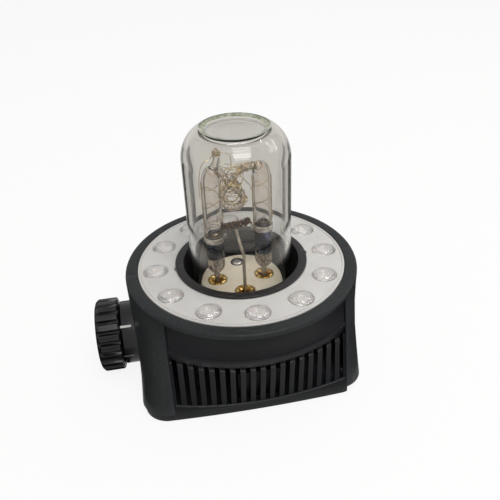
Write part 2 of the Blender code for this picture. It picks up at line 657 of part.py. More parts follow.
def knob_parts(black, grey, steel):
    """Boss on the housing, spindle, knob cap and clamp shoe."""
    axis = [(-KNOB_HEIGHT, 0.0)]
    bore = SPINDLE_RADIUS + GAP
    boss_end = -52 * MM
    edge = 0.6 * MM
    profile = [(0, -50 * MM), (BOSS_RADIUS, -50 * MM), (BOSS_RADIUS, BOSS_OUTER + edge),
               (BOSS_RADIUS - edge, BOSS_OUTER), (0, BOSS_OUTER)]
    boss = turned_x("knob_boss", profile, black, 36)
    combine(boss, housing_solid("boss_fit", -GAP, 0.0, 54 * MM))
    combine(boss, rods("boss_spigot", axis, 11.6 * MM, BOSS_OUTER + 2 * MM, boss_end, 32, axis="X"), "UNION")
    combine(boss, rods("boss_bore", axis, bore, -FAR, -40 * MM, 20, axis="X"))
    tip = -24.5 * MM
    collar = boss_end + GAP
    collar_radius = 7 * MM
    head = KNOB_INNER - 8.7 * MM
    profile = [(0, tip), (SPINDLE_TIP_RADIUS, tip), (SPINDLE_TIP_RADIUS, collar + 2 * MM),
               (collar_radius, collar + 2 * MM), (collar_radius, collar), (SPINDLE_RADIUS, collar),
               (SPINDLE_RADIUS, head), (0, head)]
    turned_x("clamp_spindle", profile, steel, 16)
    cap_low, cap_radius = KNOB_OUTER + 0.7 * MM, 8.3 * MM
    profile = [(0, cap_low), (cap_radius, cap_low), (cap_radius, KNOB_OUTER + 0.2 * MM),
               (cap_radius - 0.4 * MM, KNOB_OUTER), (0, KNOB_OUTER)]
    turned_x("knob_cap", profile, grey, 28)
    half_z, half_y = 3.6 * MM, 7 * MM
    shoe = box("clamp_shoe", (-31 * MM, -half_y, KNOB_HEIGHT - half_z),
               (-SPIGOT_RADIUS + 2 * MM, half_y, KNOB_HEIGHT + half_z), steel, (-25 * MM, 0.0, KNOB_HEIGHT))
    combine(shoe, rods("shoe_face", [(0.0, 0.0)], SPIGOT_RADIUS + 0.2 * MM, 0.0, 40 * MM, 40))
    shoe_bore = SPINDLE_TIP_RADIUS + GAP
    combine(shoe, rods("shoe_bore", axis, shoe_bore, -40 * MM, -21.5 * MM, 16, axis="X"))


def underside(black, grey, steel, brass):
    """Plinth, its screws, the socket for a mounting spigot, and the plug in that socket."""
    edge = 0.8 * MM
    rings = []
    for inset, height in ((PLINTH_INSET + edge, 0.0), (PLINTH_INSET, edge), (PLINTH_INSET, LOFT_FOOT - GAP)):
        rings.append([(x, y, height) for x, y, _ in housing_ring(inset, LOFT_FOOT)])
    plate = loft("base_plate", rings, black)
    for side in (-1, 1):
        near, away = sorted((side * NOTCH_Y, side * FAR))
        combine(plate, box("notch_%d" % side, (NOTCH_X, near, -FAR), (FAR, away, FAR)))
    combine(plate, rods("spigot_mouth", [(0.0, 0.0)], SPIGOT_RADIUS + GAP, -MM, 9 * MM, 30))
    posts = [(FOOT_SHIFT + x * POST_X, y * POST_Y) for x in (-1, 1) for y in (-1, 1)]
    combine(plate, rods("screw_holes", posts, SCREW_BORE, -MM, 9 * MM, 8))
    seat = 2.6 * MM
    combine(plate, rods("screw_seats", posts, 3.5 * MM, -MM, seat, 12))
    shank, head, low = 1.5 * MM, 3.2 * MM, 0.5 * MM
    profile = [(0, 12 * MM), (shank, 12 * MM), (shank, seat - GAP), (head, seat - GAP), (head, 2 * low),
               (head - 0.6 * MM, low), (0, low)]
    for index, spot in enumerate(posts, 1):
        turned("base_screw_%d" % index, profile, steel, steps=10, location=(*spot, 0.0))
    outer = SPIGOT_RADIUS + 3 * MM
    flange = outer + 3 * MM
    roof, flange_top = SPIGOT_CEILING + 1.5 * MM, LOFT_FOOT + 1.6 * MM
    profile = [(0, roof), (outer, roof), (outer, flange_top), (flange, flange_top), (flange, LOFT_FOOT),
               (SPIGOT_RADIUS, LOFT_FOOT), (SPIGOT_RADIUS, SPIGOT_CEILING), (0, SPIGOT_CEILING)]
    cup = turned("spigot_socket", profile, grey, steps=30)
    half_y, half_z = 7.3 * MM, 3.9 * MM
    combine(cup, box("shoe_window", (-40 * MM, -half_y, KNOB_HEIGHT - half_z),
                     (-10 * MM, half_y, KNOB_HEIGHT + half_z)))
    top = SPIGOT_CEILING - GAP
    low = top - 5 * MM
    radius = 11 * MM
    profile = [(0, top), (radius, top), (radius, low + MM), (radius - MM, low), (0, low)]
    plug = turned("plug_connector", profile, black, steps=20)
    pin_top, pin_low = top - 2.3 * MM, low - 6 * MM
    profile = [(0, pin_top), (MM, pin_top), (MM, pin_low + 0.6 * MM), (0.5 * MM, pin_low), (0, pin_low)]
    for index, spot in enumerate(ring_spots(4, 6 * MM), 1):
        combine(plug, rods("pin_hole_%d" % index, [spot], MM + GAP, low - MM, pin_top + GAP, 10))
        turned("contact_pin_%d" % index, profile, brass, steps=8, location=(*spot, 0.0))


def fan(black, grey):
    """Cooling fan behind the rear cover, with its rotor's origin on the rotor's axis."""
    half, depth = 15 * MM, 8 * MM
    frame = box("fan_frame", (-half, FAN_Y - depth / 2, FAN_HEIGHT - half),
                (half, FAN_Y + depth / 2, FAN_HEIGHT + half), grey)
    axis = [(0.0, -FAN_HEIGHT)]
    combine(frame, rods("fan_bore", axis, 13.8 * MM, FAN_Y - 5 * MM, FAN_Y + 2.6 * MM, 28, axis="Y"))
    outlets = [(x, z - FAN_HEIGHT) for x, z in ring_spots(4, 9.6 * MM)]
    combine(frame, rods("fan_outlets", outlets, 3.6 * MM, FAN_Y, FAN_Y + 6 * MM, 14, axis="Y"))
    radius, reach, edge = 6 * MM, 3 * MM, 0.6 * MM
    profile = [(0, reach), (radius - edge, reach), (radius, reach - edge), (radius, -reach), (0, -reach)]
    place_on_axis = (0.0, FAN_Y - 0.7 * MM, FAN_HEIGHT)
    hub = turned("fan_rotor", profile, black, 24, place_on_axis, (math.pi / 2, 0.0, 0.0))
    shape = bmesh.new()
    for index in range(BLADE_COUNT):
        made = bmesh.ops.create_cube(shape, size=1.0)
        bmesh.ops.scale(shape, vec=(8.2 * MM, 0.9 * MM, 5 * MM), verts=made["verts"])
        bmesh.ops.rotate(shape, matrix=Matrix.Rotation(math.radians(35), 3, "X"), verts=made["verts"])
        bmesh.ops.translate(shape, vec=(9 * MM, 0, 0), verts=made["verts"])
        turn = Matrix.Rotation(2 * math.pi * index / BLADE_COUNT, 3, "Z")
        bmesh.ops.rotate(shape, matrix=turn, verts=made["verts"])
    blades = place("blades", to_mesh("blades", shape), None, hub.location)
    blades.rotation_euler = hub.rotation_euler
    combine(hub, blades, "UNION")


def electronics(board, dark, copper):
    """Trigger transformer with its lead, and the control board with its larger components."""
    block = box("trigger_transformer", (-11 * MM, -45.5 * MM, LOFT_FOOT), (11 * MM, -28 * MM, 21 * MM),
                dark)
    combine(block, rods("core", [(0.0, -36 * MM)], 6 * MM, 18 * MM, 23 * MM, 20), "UNION")
    x, y = SOCKET_SPOTS["front"]
    lead = [(x, -36 * MM, 23.4 * MM), (x, -36 * MM, 25.6 * MM), (x, -33 * MM, 28.2 * MM),
            (x, -26 * MM, 28.9 * MM), (x, y - 3.8 * MM, 28.9 * MM)]
    wire("trigger_lead", smooth_route(lead, 3), 0.7 * MM, copper, sides=1)
    plate = box("control_board", (41 * MM, -23 * MM, LOFT_FOOT), (42.6 * MM, 23 * MM, 34 * MM), board)
    components = (((-19, 8), (-7, 16)), ((-3, 9), (7, 24)), ((11, 12), (19, 20)))
    for index, (low, high) in enumerate(components):
        part = box("component_%d" % index, (36 * MM, low[0] * MM, low[1] * MM),
                   (41.5 * MM, high[0] * MM, high[1] * MM))
        combine(plate, part, "UNION")


def build():
    """Makes every piece."""
    black = finish("black_plastic", (0.018, 0.020, 0.020), 0.5)
    rim_black = finish("grille_plastic", (0.014, 0.015, 0.016), 0.45)
    white = finish("white_plastic", (0.62, 0.60, 0.58), 0.45)
    lens = finish("lens_plastic", (0.85, 0.86, 0.87), 0.08, alpha=0.5)
    glass = finish("clear_glass", (0.86, 0.88, 0.86), 0.02, alpha=0.25)
    quartz = finish("quartz_glass", (0.80, 0.75, 0.62), 0.04, alpha=0.35)
    ceramic = finish("ceramic", (0.66, 0.59, 0.45), 0.55)
    brass = finish("brass", (0.65, 0.45, 0.16), 0.3, 1.0)
    steel = finish("steel", (0.55, 0.55, 0.56), 0.3, 1.0)
    dark_metal = finish("electrode_metal", (0.16, 0.17, 0.22), 0.3, 1.0)
    copper = finish("copper_wire", (0.30, 0.17, 0.09), 0.4, 1.0)
    nickel = finish("nickel_wire", (0.40, 0.35, 0.28), 0.35, 1.0)
    aluminium = finish("aluminium", (0.60, 0.61, 0.62), 0.4, 1.0)
    circuit = finish("circuit_board", (0.03, 0.12, 0.05), 0.5)
    silicone = finish("silicone", (0.45, 0.45, 0.44), 0.7)
    knob_black = finish("knob_plastic", (0.010, 0.010, 0.011), 0.3)

    tools = shell_tools()
    housing_half("front_shell", -1, tools, black)
    housing_half("rear_shell", 1, tools, black)
    cover("front_grille", -1, rim_black)
    cover("rear_grille", 1, rim_black)
    reflector_ring(white)
    lamp_lenses(lens)
    led_board(circuit)
    heat_sink(aluminium)
    well_collar(rim_black)
    tube_base(ceramic, steel)
    sockets(brass)
    flash_tube(quartz)
    electrodes(dark_metal)
    bands(steel)
    trigger_parts(steel, copper, nickel)
    glass_dome(glass, silicone)
    clamp_knob(knob_black)
    knob_parts(black, knob_black, steel)
    underside(black, rim_black, steel, brass)
    fan(knob_black, black)
    electronics(circuit, black, copper)


clear_scene()
PARTS = new_collection("flash_head")
CUTTERS = new_collection("cutters")
build()
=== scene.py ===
# %% [markdown]
# # Dressing a portable flash head
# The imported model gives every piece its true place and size. This lesson adds the finish: fine meshes
# where a moulding, a casting or a glass shows, and a material for each surface. Everything is in metres,
# +Z is up, -Y is the front with its plain field over the vents, and the clamp knob stands out at -X.

import math
import random

import bmesh
import bpy
from mathutils import Matrix, Vector


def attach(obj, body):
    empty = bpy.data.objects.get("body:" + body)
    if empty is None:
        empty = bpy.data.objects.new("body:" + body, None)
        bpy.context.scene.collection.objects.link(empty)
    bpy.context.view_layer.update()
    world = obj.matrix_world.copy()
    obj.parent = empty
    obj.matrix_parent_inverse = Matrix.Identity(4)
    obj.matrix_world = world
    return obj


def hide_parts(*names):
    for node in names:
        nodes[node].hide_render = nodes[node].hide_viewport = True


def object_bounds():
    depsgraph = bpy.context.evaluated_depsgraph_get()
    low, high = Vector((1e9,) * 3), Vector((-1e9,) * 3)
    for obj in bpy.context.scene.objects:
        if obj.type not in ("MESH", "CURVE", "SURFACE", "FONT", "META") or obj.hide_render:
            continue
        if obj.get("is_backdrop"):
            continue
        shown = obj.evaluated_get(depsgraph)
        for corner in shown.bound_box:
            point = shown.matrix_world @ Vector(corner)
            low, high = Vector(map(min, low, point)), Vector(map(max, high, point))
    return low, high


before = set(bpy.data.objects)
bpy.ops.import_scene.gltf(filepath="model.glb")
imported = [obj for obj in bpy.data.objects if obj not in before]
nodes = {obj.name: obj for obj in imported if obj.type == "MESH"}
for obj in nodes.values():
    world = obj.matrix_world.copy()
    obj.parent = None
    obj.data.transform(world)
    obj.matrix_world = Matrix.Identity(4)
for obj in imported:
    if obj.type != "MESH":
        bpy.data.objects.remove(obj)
cad_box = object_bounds()
MM = 0.001

# %% [markdown]
# The camera stands where the photographer's stood: a little to the left of the front and 33 degrees up.
# Its place was solved from the ring of twelve lamps, whose circle and spacing are known. Trying angles by
# eye would also work, but then every later comparison would carry that error.

# %% Camera
eye = bpy.data.cameras.new("studio_camera")
eye.sensor_width = 36
eye.lens = 44.9
camera = bpy.data.objects.new("studio_camera", eye)
camera.location = (-0.03897, -0.26320, 0.23458)
camera.rotation_euler = [math.radians(turn) for turn in (56.96532, 1.85957, -10.67033)]
bpy.context.scene.collection.objects.link(camera)
bpy.context.scene.camera = camera
print("camera", round(camera.location.length, 3), "m from the origin")

# %% [markdown]
# Colours are written as sRGB hex values, as one reads them off a screen, and one function turns them to
# the linear values that the renderer uses. One small function adds a shader node with its settings and
# links, and another starts a material on the Principled shader, which all visible finishes here share.


# %% Colour and node helpers
def tone(code):
    """Linear colour of an sRGB hex value."""
    parts = [int(code[i:i + 2], 16) / 255 for i in (1, 3, 5)]
    return (*[part / 12.92 if part < 0.04045 else ((part + 0.055) / 1.055) ** 2.4 for part in parts], 1.0)


def add_node(material, kind, inputs=None, **options):
    """Adds a shader node. An input is a value, or the output socket that feeds it."""
    tree = material.node_tree
    node = tree.nodes.new("ShaderNode" + kind)
    for option, value in options.items():
        setattr(node, option, value)
    for name, value in (inputs or {}).items():
        if isinstance(value, bpy.types.NodeSocket):
            tree.links.new(value, node.inputs[name])
        else:
            node.inputs[name].default_value = value
    return node


def new_material(name, colour, roughness, **sockets):
    """Starts a material with plain values on its shader. Socket names have _ for a space."""
    material = bpy.data.materials.new(name)
    material.use_nodes = True
    shader = material.node_tree.nodes["Principled BSDF"]
    shader.inputs["Base Color"].default_value = tone(colour)
    shader.inputs["Roughness"].default_value = roughness
    for socket, value in sockets.items():
        shader.inputs[socket.replace("_", " ")].default_value = value
    return material, shader


def feed(material, output, socket):
    """Links an output to a shader's socket."""
    material.node_tree.links.new(output, socket)


print("linear mid grey:", [round(part, 3) for part in tone("#808080")[:3]])

# %% [markdown]
# The shells are injection-moulded ABS. The tool's cavity was spark-eroded, which leaves a fine satin
# grain about a quarter of a millimetre across, a little lighter where light grazes it. Flow and handling
# leave broad, faint changes of gloss. Real grain could be displaced geometry, but a bump from one fine
# noise gives the same look for far less. A broad noise moves the roughness, and the rounded edges are
# painted slightly paler, partly as rubbed plastic is and partly as a painted highlight along them. The
# grain is drawn a little coarser than it is, so that it shows.


# %% Moulded ABS
def moulded_abs(name, dark, pale, roughness, grain_mm, bump_mm, gloss):
    """Black moulded plastic with an eroded grain, uneven gloss, and edges paler from wear and painted
    highlight.
    """
    material, shader = new_material(name, dark, roughness, IOR=1.52, Specular_IOR_Level=gloss)
    place = add_node(material, "TexCoord").outputs["Object"]
    cloud = add_node(material, "TexNoise", {"Vector": place, "Scale": 1 / (22 * MM), "Detail": 3.0})
    specks = add_node(material, "TexNoise", {"Vector": place, "Scale": 1 / (1.6 * MM), "Detail": 4.0})
    both = add_node(material, "Math", {0: cloud.outputs["Fac"], 1: specks.outputs["Fac"]},
                    operation="MULTIPLY")
    share = add_node(material, "MapRange", {"Value": both.outputs[0], "From Min": 0.12, "From Max": 0.42})
    body = add_node(material, "Mix", {0: share.outputs[0], 6: tone(dark), 7: tone(pale)}, data_type="RGBA")
    # Convex edges are painted paler: partly rubbed wear, partly a painted highlight along the edges.
    edge = add_node(material, "NewGeometry").outputs["Pointiness"]
    edge_wear_and_highlight = add_node(material, "MapRange", {"Value": edge, "From Min": 0.53, "From Max": 0.62, "To Max": 0.5})
    edge_wear_and_highlight_colour = add_node(material, "Mix", {0: edge_wear_and_highlight.outputs[0], 6: body.outputs[2], 7: tone("#54545A")},
                      data_type="RGBA")
    feed(material, edge_wear_and_highlight_colour.outputs[2], shader.inputs["Base Color"])
    sheen = add_node(material, "MapRange", {"Value": cloud.outputs["Fac"], "From Min": 0.3, "From Max": 0.7,
                                            "To Min": roughness - 0.05, "To Max": roughness + 0.07})
    feed(material, sheen.outputs[0], shader.inputs["Roughness"])
    grain = add_node(material, "TexNoise", {"Vector": place, "Scale": 1 / (grain_mm * MM), "Detail": 2.0})
    relief = add_node(material, "Bump", {"Height": grain.outputs["Fac"], "Distance": bump_mm * MM,
                                         "Strength": 0.6})
    feed(material, relief.outputs[0], shader.inputs["Normal"])
    return material


shell_abs = moulded_abs("satin_black_abs", "#242627", "#2E3031", 0.42, 0.45, 0.03, 0.17)
cover_abs = moulded_abs("fine_black_abs", "#0F1012", "#15161A", 0.36, 0.35, 0.02, 0.18)
collar_abs = moulded_abs("collar_black_abs", "#1B1A1A", "#242222", 0.38, 0.4, 0.025, 0.3)
knob_abs = moulded_abs("half_gloss_black_abs", "#080909", "#0D0E0E", 0.22, 0.6, 0.012, 0.34)
inner_abs = moulded_abs("inner_black_abs", "#070707", "#0C0C0C", 0.6, 0.5, 0.03, 0.1)
print("plastics:", [item.name for item in (shell_abs, cover_abs, collar_abs, knob_abs, inner_abs)])

# %% [markdown]
# Most other finishes share one thing: they are never quite one colour. Dust, heat and wear leave cloudy
# patches. One function colours a surface in patches of two close colours whose size is given in
# millimetres, and another turns a pattern into fine relief. Painting a picture for each surface would
# also work, but a pattern in space needs no unwrapping and never shows a seam.


# %% Patches and relief
def patches(material, shader, patch_mm, detail, spread, colours, stretch=None):
    """Colours a surface in cloudy patches. Returns its place, its pattern and its colour."""
    place = add_node(material, "TexCoord").outputs["Object"]
    if stretch:
        place = add_node(material, "Mapping", {"Vector": place, "Scale": stretch}).outputs[0]
    cloud = add_node(material, "TexNoise", {"Vector": place, "Scale": 1 / (patch_mm * MM), "Detail": detail})
    share = add_node(material, "MapRange", {"Value": cloud.outputs["Fac"], "From Min": spread[0],
                                            "From Max": spread[1]})
    body = add_node(material, "Mix", {0: share.outputs[0], 6: tone(colours[0]), 7: tone(colours[1])},
                    data_type="RGBA")
    feed(material, body.outputs[2], shader.inputs["Base Color"])
    return place, cloud.outputs["Fac"], body.outputs[2]


def relieve(material, shader, pattern, depth_mm, strength):
    """Turns a pattern into relief of a given depth."""
    relief = add_node(material, "Bump", {"Height": pattern, "Distance": depth_mm * MM, "Strength": strength})
    feed(material, relief.outputs[0], shader.inputs["Normal"])


print("patch and relief helpers ready")

# %% [markdown]
# The lamp ring is white ABS, as reflectors and diffusers mostly are: opaque, half matt, with a trace of
# light passing under the skin. It is slightly warm. Its grain is finer than the shell's.

# %% White ABS
white_abs, shader = new_material("white_abs", "#D3D0CC", 0.36, IOR=1.52, Subsurface_Weight=0.08,
                                 Subsurface_Scale=0.6 * MM)
place, _, _ = patches(white_abs, shader, 15, 4.0, (0.3, 0.7), ("#C8C5C1", "#D0CECB"))
grain = add_node(white_abs, "TexNoise", {"Vector": place, "Scale": 1 / (0.3 * MM), "Detail": 2.0})
relieve(white_abs, shader, grain.outputs["Fac"], 0.01, 0.4)
print("made", white_abs.name)

# %% [markdown]
# The lamp lenses are clear acrylic, with a refractive index of 1.49. A thin bright skin on them makes the
# small sparks that moulded pillows throw. The dome is borosilicate glass (1.47). Seen through its edges
# such glass is greenish, which comes from light soaked up on its way through, so the colour sits in the
# volume and not on the surface. Round the crown a greenish, half-clear glass is painted shade: it stands
# in for the dark ring that light bent through the thick crown shows.


# %% Acrylic and dome glass
def clear_material(name, colour, ior, roughness=0.0, passing=1.0, **sockets):
    """Glass or clear plastic with its typical refractive index. Passing is the share of light let in."""
    return new_material(name, colour, roughness, IOR=ior, Transmission_Weight=passing, **sockets)


lens_acrylic, shader = clear_material("clear_acrylic", "#FBFAF9", 1.49, passing=0.85, Coat_Weight=1.0,
                                      Coat_IOR=1.7, Coat_Roughness=0.04)
dome_glass, shader = clear_material("borosilicate_glass", "#FAFAF8", 1.47)
depth = add_node(dome_glass, "VolumeAbsorption", {"Color": tone("#A3B295"), "Density": 6.0})
feed(dome_glass, depth.outputs[0], dome_glass.node_tree.nodes["Material Output"].inputs["Volume"])
# Painted shade: the crown's greenish, half-clear glass stands in for a dark ring made by refraction.
crown_shade_glass, shader = clear_material("crown_painted_shade_glass", "#B3B79E", 1.47, 0.3, 0.3)
patches(crown_shade_glass, shader, 2.2, 2.0, (0.4, 0.66), ("#8E9377", "#C2C6B2"))
print("clear:", lens_acrylic.name, dome_glass.name, crown_shade_glass.name)

# %% [markdown]
# The discharge tube is fused quartz (1.46), which alone bears the heat of the flash. A tube that has
# flashed for a while browns a little, so the quartz gets faint warm patches. At its feet the quartz is
# sealed to the pins through a softer glass, which is pinched hot and stays crinkled, smoky and brown.

# %% Tube glass
seal_glass, shader = clear_material("smoky_seal_glass", "#B9A58E", 1.5, 0.1, 0.55)
_, crinkle, _ = patches(seal_glass, shader, 1.1, 3.0, (0.42, 0.62), ("#D8C8B4", "#80705F"))
relieve(seal_glass, shader, crinkle, 0.25, 0.8)
quartz, shader = clear_material("fused_quartz", "#F8F5F0", 1.46)
patches(quartz, shader, 9, 5.0, (0.45, 0.72), ("#F9F6F3", "#F3ECE6"))
print("tube glass:", seal_glass.name, quartz.name)

# %% [markdown]
# The tube stands on steatite, an unglazed cream ceramic. It is pressed as powder and fired, so it is
# matt, faintly speckled, and pitted at about a third of a millimetre.

# %% Steatite
steatite, shader = new_material("steatite", "#D8CDB8", 0.6, IOR=1.55, Subsurface_Weight=0.06,
                                Subsurface_Scale=0.8 * MM)
place, _, body = patches(steatite, shader, 7, 6.0, (0.32, 0.68), ("#ECE2CC", "#F6EFE0"))
specks = add_node(steatite, "TexNoise", {"Vector": place, "Scale": 1 / (0.7 * MM), "Detail": 1.0})
spot = add_node(steatite, "MapRange", {"Value": specks.outputs["Fac"], "From Min": 0.68, "From Max": 0.74,
                                       "To Max": 0.35})
body = add_node(steatite, "Mix", {0: spot.outputs[0], 6: body, 7: tone("#9A8A6C")}, data_type="RGBA")
feed(steatite, body.outputs[2], shader.inputs["Base Color"])
grain = add_node(steatite, "TexNoise", {"Vector": place, "Scale": 1 / (0.35 * MM), "Detail": 3.0})
relieve(steatite, shader, grain.outputs["Fac"], 0.03, 0.7)
print("made", steatite.name)

# %% [markdown]
# The metals differ in colour and in how the light spreads on them. Drawn and turned pieces are scratched
# along one direction, so their patches are stretched along the axis. Heat leaves colour on the
# electrodes, straw, brown and blue, as an oxide film grows, and metal that the flash tears off them
# settles on the glass as a dark film. Bare metal and oxide could be two layers with a mask, but at this
# size one shader that is not quite all metal gives the same look.


# %% Metals
def metal(name, colour, second, roughness, patch_mm, spread=(0.4, 0.62), stretch=(1, 1, 1), bare=1.0):
    """Metal with patches of a second colour and uneven gloss. Bare is the share without oxide."""
    material, shader = new_material(name, colour, roughness, Metallic=bare)
    _, cloud, _ = patches(material, shader, patch_mm, 5.0, spread, (colour, second), stretch)
    gloss = add_node(material, "MapRange", {"Value": cloud, "From Min": 0.3, "From Max": 0.7,
                                            "To Min": roughness * 0.75, "To Max": roughness * 1.4})
    feed(material, gloss.outputs[0], shader.inputs["Roughness"])
    print("metal:", name)
    return material


gilt_brass = metal("gilt_brass", "#F3D690", "#C99A4E", 0.24, 1.2)
plated_steel = metal("nickel_plated_steel", "#DDDAD6", "#C2BFBC", 0.3, 4.0, bare=0.8)
heat_tinted = metal("heat_tinted_molybdenum", "#2A2E3C", "#5E4130", 0.28, 4.5, stretch=(1, 1, 0.35))
# The film's pale blue vertical streaks are painted highlights. Its dark patches are the film itself.
film_and_painted_streaks = metal("molybdenum_film_painted_streaks", "#626C92", "#16161E", 0.16, 4.0, (0.42, 0.52), (1, 1, 0.15))
band_steel = metal("bright_steel_band", "#E4DFD8", "#A79C90", 0.22, 2.0, bare=0.8)
oxidised_copper = metal("oxidised_copper", "#33221A", "#C58A58", 0.3, 0.8, (0.5, 0.66), bare=0.8)
fine_wire = metal("gilt_nickel_wire", "#CDB681", "#86704A", 0.2, 2.2, bare=0.8)
rod_steel = metal("rod_steel", "#A79D8E", "#857B6D", 0.42, 3.0, stretch=(1, 1, 0.4), bare=0.5)
aluminium = metal("extruded_aluminium", "#C4C5C6", "#B0B1B3", 0.38, 6.0)

# %% [markdown]
# Inside, seen through the vents and from below, are a circuit board with glossy green solder mask, white
# silicone under the dome, and the varnish on the transformer. The white index line is paint, the grey
# line on the boss is a painted highlight, and each lamp has a phosphor cap, which is a pale yellowish
# pink while the lamp is off. All are small, so each needs only a colour that varies and the right gloss.


# %% Inner finishes
def plain_finish(name, colour, second, roughness, patch_mm):
    """Quiet finish for a small piece: two close colours in patches and a little relief."""
    material, shader = new_material(name, colour, roughness)
    _, cloud, _ = patches(material, shader, patch_mm, 4.0, (0.4, 0.6), (colour, second))
    relieve(material, shader, cloud, 0.02, 0.5)
    print("finish:", name)
    return material


solder_mask = plain_finish("green_solder_mask", "#1F4A2C", "#2B6139", 0.3, 2.0)
white_mask = plain_finish("white_solder_mask", "#DAD9D4", "#CFCEC8", 0.35, 2.0)
silicone = plain_finish("white_silicone", "#B9B8B4", "#AEADA9", 0.6, 3.0)
varnish = plain_finish("black_varnish", "#0E0D0C", "#151312", 0.4, 2.5)
index_paint = plain_finish("white_index_paint", "#DEDDD9", "#C9C8C4", 0.45, 0.8)
# Painted highlight: a grey line on the boss, where light catches it.
painted_highlight_grey = plain_finish("grey_painted_highlight", "#6F7170", "#595B5B", 0.5, 0.8)
phosphor = plain_finish("lamp_phosphor", "#DDBFAE", "#D3B09C", 0.45, 1.0)

# %% [markdown]
# Every new piece is finished in the same way: its mesh becomes an object, edges sharper than a given
# angle stay sharp or get a small bevel, it takes a material, rides on the body that carries it, and
# stands in for the plain node. One helper does all that, so that no piece is forgotten.


# %% Piece helper
def as_object(name, shape):
    """Turns a bmesh into an object of the scene."""
    mesh = bpy.data.meshes.new(name)
    shape.to_mesh(mesh)
    shape.free()
    thing = bpy.data.objects.new(name, mesh)
    bpy.context.scene.collection.objects.link(thing)
    return thing


def settle(thing):
    """Applies the modifiers of an object to its mesh."""
    bpy.context.view_layer.update()
    graph = bpy.context.evaluated_depsgraph_get()
    final = bpy.data.meshes.new_from_object(thing.evaluated_get(graph))
    thing.modifiers.clear()
    thing.data = final


def piece(name, shape, material, body, slot, *replaced, bevel_mm=0.0, recalc=True, sharp=35):
    """Turns a bmesh into a finished piece on a body, in place of the named nodes."""
    if recalc:
        bmesh.ops.recalc_face_normals(shape, faces=shape.faces)
    thing = as_object(name, shape)
    thing.data.materials.append(material)
    if bevel_mm:
        edge = thing.modifiers.new("edge", "BEVEL")
        edge.width = bevel_mm * MM
        edge.segments = 2
        edge.limit_method = "ANGLE"
        edge.angle_limit = math.radians(sharp)
        edge.use_clamp_overlap = True
        settle(thing)
    thing.data.shade_smooth()
    thing.data.set_sharp_from_angle(angle=math.radians(sharp))
    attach(thing, body)
    if replaced:
        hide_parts(*replaced)
    print(name, len(thing.data.polygons), "faces")
    return thing


print("piece helper ready")

# %% [markdown]
# Holes are drilled by a tool, as in a workshop: one mesh takes the other away. The exact solver is slower
# than the fast one, but it is right where faces meet edge to edge, as they often do in turned pieces.


# %% Cutting helper
def cut(shape, tool, crossing=False):
    """Cuts one bmesh by another and returns the result. Crossing is for a tool whose parts overlap."""
    things = []
    for part in (shape, tool):
        bmesh.ops.recalc_face_normals(part, faces=part.faces)
        things.append(as_object("work", part))
    step = things[0].modifiers.new("cut", "BOOLEAN")
    step.object = things[1]
    step.solver = "EXACT"
    step.use_self = crossing
    settle(things[0])
    made = bmesh.new()
    made.from_mesh(things[0].data)
    for thing in things:
        bpy.data.objects.remove(thing)
    return made


print("cutting helper ready")

# %% [markdown]
# Most pieces are turned: a profile of (radius, height) points goes round an axis. A third number on a
# point is a fillet radius, since no moulded or turned corner is truly sharp. A bevel afterwards would
# treat all edges alike. The rings are kept as lists, so one skin function also closes lofts and wires.

# %% Fillets and skins
FILLET_STEPS = 3


def filleted(points):
    """Rounds each corner of an outline whose point has a third number, the reach of the rounding."""
    result = []
    for index, point in enumerate(points):
        here = Vector(point[:2])
        if len(point) < 3:
            result.append(tuple(here))
            continue
        before = Vector(points[index - 1][:2]) - here
        after = Vector(points[(index + 1) % len(points)][:2]) - here
        first = here + before.normalized() * min(point[2], before.length / 2)
        last = here + after.normalized() * min(point[2], after.length / 2)
        for step in range(FILLET_STEPS + 1):
            t = step / FILLET_STEPS
            result.append(tuple(first * (1 - t) ** 2 + here * 2 * t * (1 - t) + last * t ** 2))
    return result


def skin(shape, rings, closed=False):
    """Joins neighbouring rings of corners by faces. A ring of one corner is a pole."""
    pairs = list(zip(rings, rings[1:]))
    if closed:
        pairs.append((rings[-1], rings[0]))
    for upper, lower in pairs:
        for index in range(max(len(upper), len(lower))):
            after = index + 1
            corners = [upper[index % len(upper)], lower[index % len(lower)], lower[after % len(lower)],
                       upper[after % len(upper)]]
            corners = list(dict.fromkeys(corners))
            if len(corners) > 2:
                shape.faces.new(corners)


print("a fillet has", len(filleted([(0, 0), (2, 0, 0.5), (2, 2)])) - 2, "points")

# %% [markdown]
# Turning is then short: each point of the rounded profile becomes a ring of corners, or a pole where it
# lies on the axis. A screw modifier would also turn a profile, but here several turned shapes often go
# in one mesh, as for the drills of all twelve lamp holes. Blocks serve for slots, ribs and flat pieces.


# %% Turning and blocks
def turned(profile, steps, centre=(0.0, 0.0), closed=False, matrix=None, shape=None):
    """Turns an outline in millimetres about a vertical axis. It runs from the top down the outside."""
    shape = shape or bmesh.new()
    rings = []
    for radius, height in filleted(profile):
        if radius < 1e-6:
            spots = [(0.0, 0.0, height * MM)]
        else:
            turns = [2 * math.pi * step / steps for step in range(steps)]
            spots = [(radius * MM * math.cos(turn), radius * MM * math.sin(turn), height * MM)
                     for turn in turns]
        rings.append([shape.verts.new(spot) for spot in spots])
    skin(shape, rings, closed)
    made = [corner for ring in rings for corner in ring]
    place = matrix or Matrix.Translation((centre[0] * MM, centre[1] * MM, 0.0))
    bmesh.ops.transform(shape, matrix=place, verts=made)
    return shape


def block(low, high, shape=None, matrix=None):
    """A box between two corners in millimetres."""
    shape = shape or bmesh.new()
    low, high = Vector(low) * MM, Vector(high) * MM
    made = bmesh.ops.create_cube(shape, size=1.0)["verts"]
    bmesh.ops.scale(shape, vec=high - low, verts=made)
    bmesh.ops.translate(shape, vec=(low + high) / 2, verts=made)
    if matrix:
        bmesh.ops.transform(shape, matrix=matrix, verts=made)
    return shape


print("turning helper:", len(turned([(1, 1), (1, 0)], 12).verts), "corners in two rings of 12")

# %% [markdown]
# Wires, rods and glass tubes follow a route. Blender's own curves could be bevelled for that, but here a
# tube has a radius of its own at each point and an inner skin. The cross-section is carried along the
# route without twisting, each ring turned by just the bend between two steps. A smooth curve through a
# few chosen points gives the route itself.


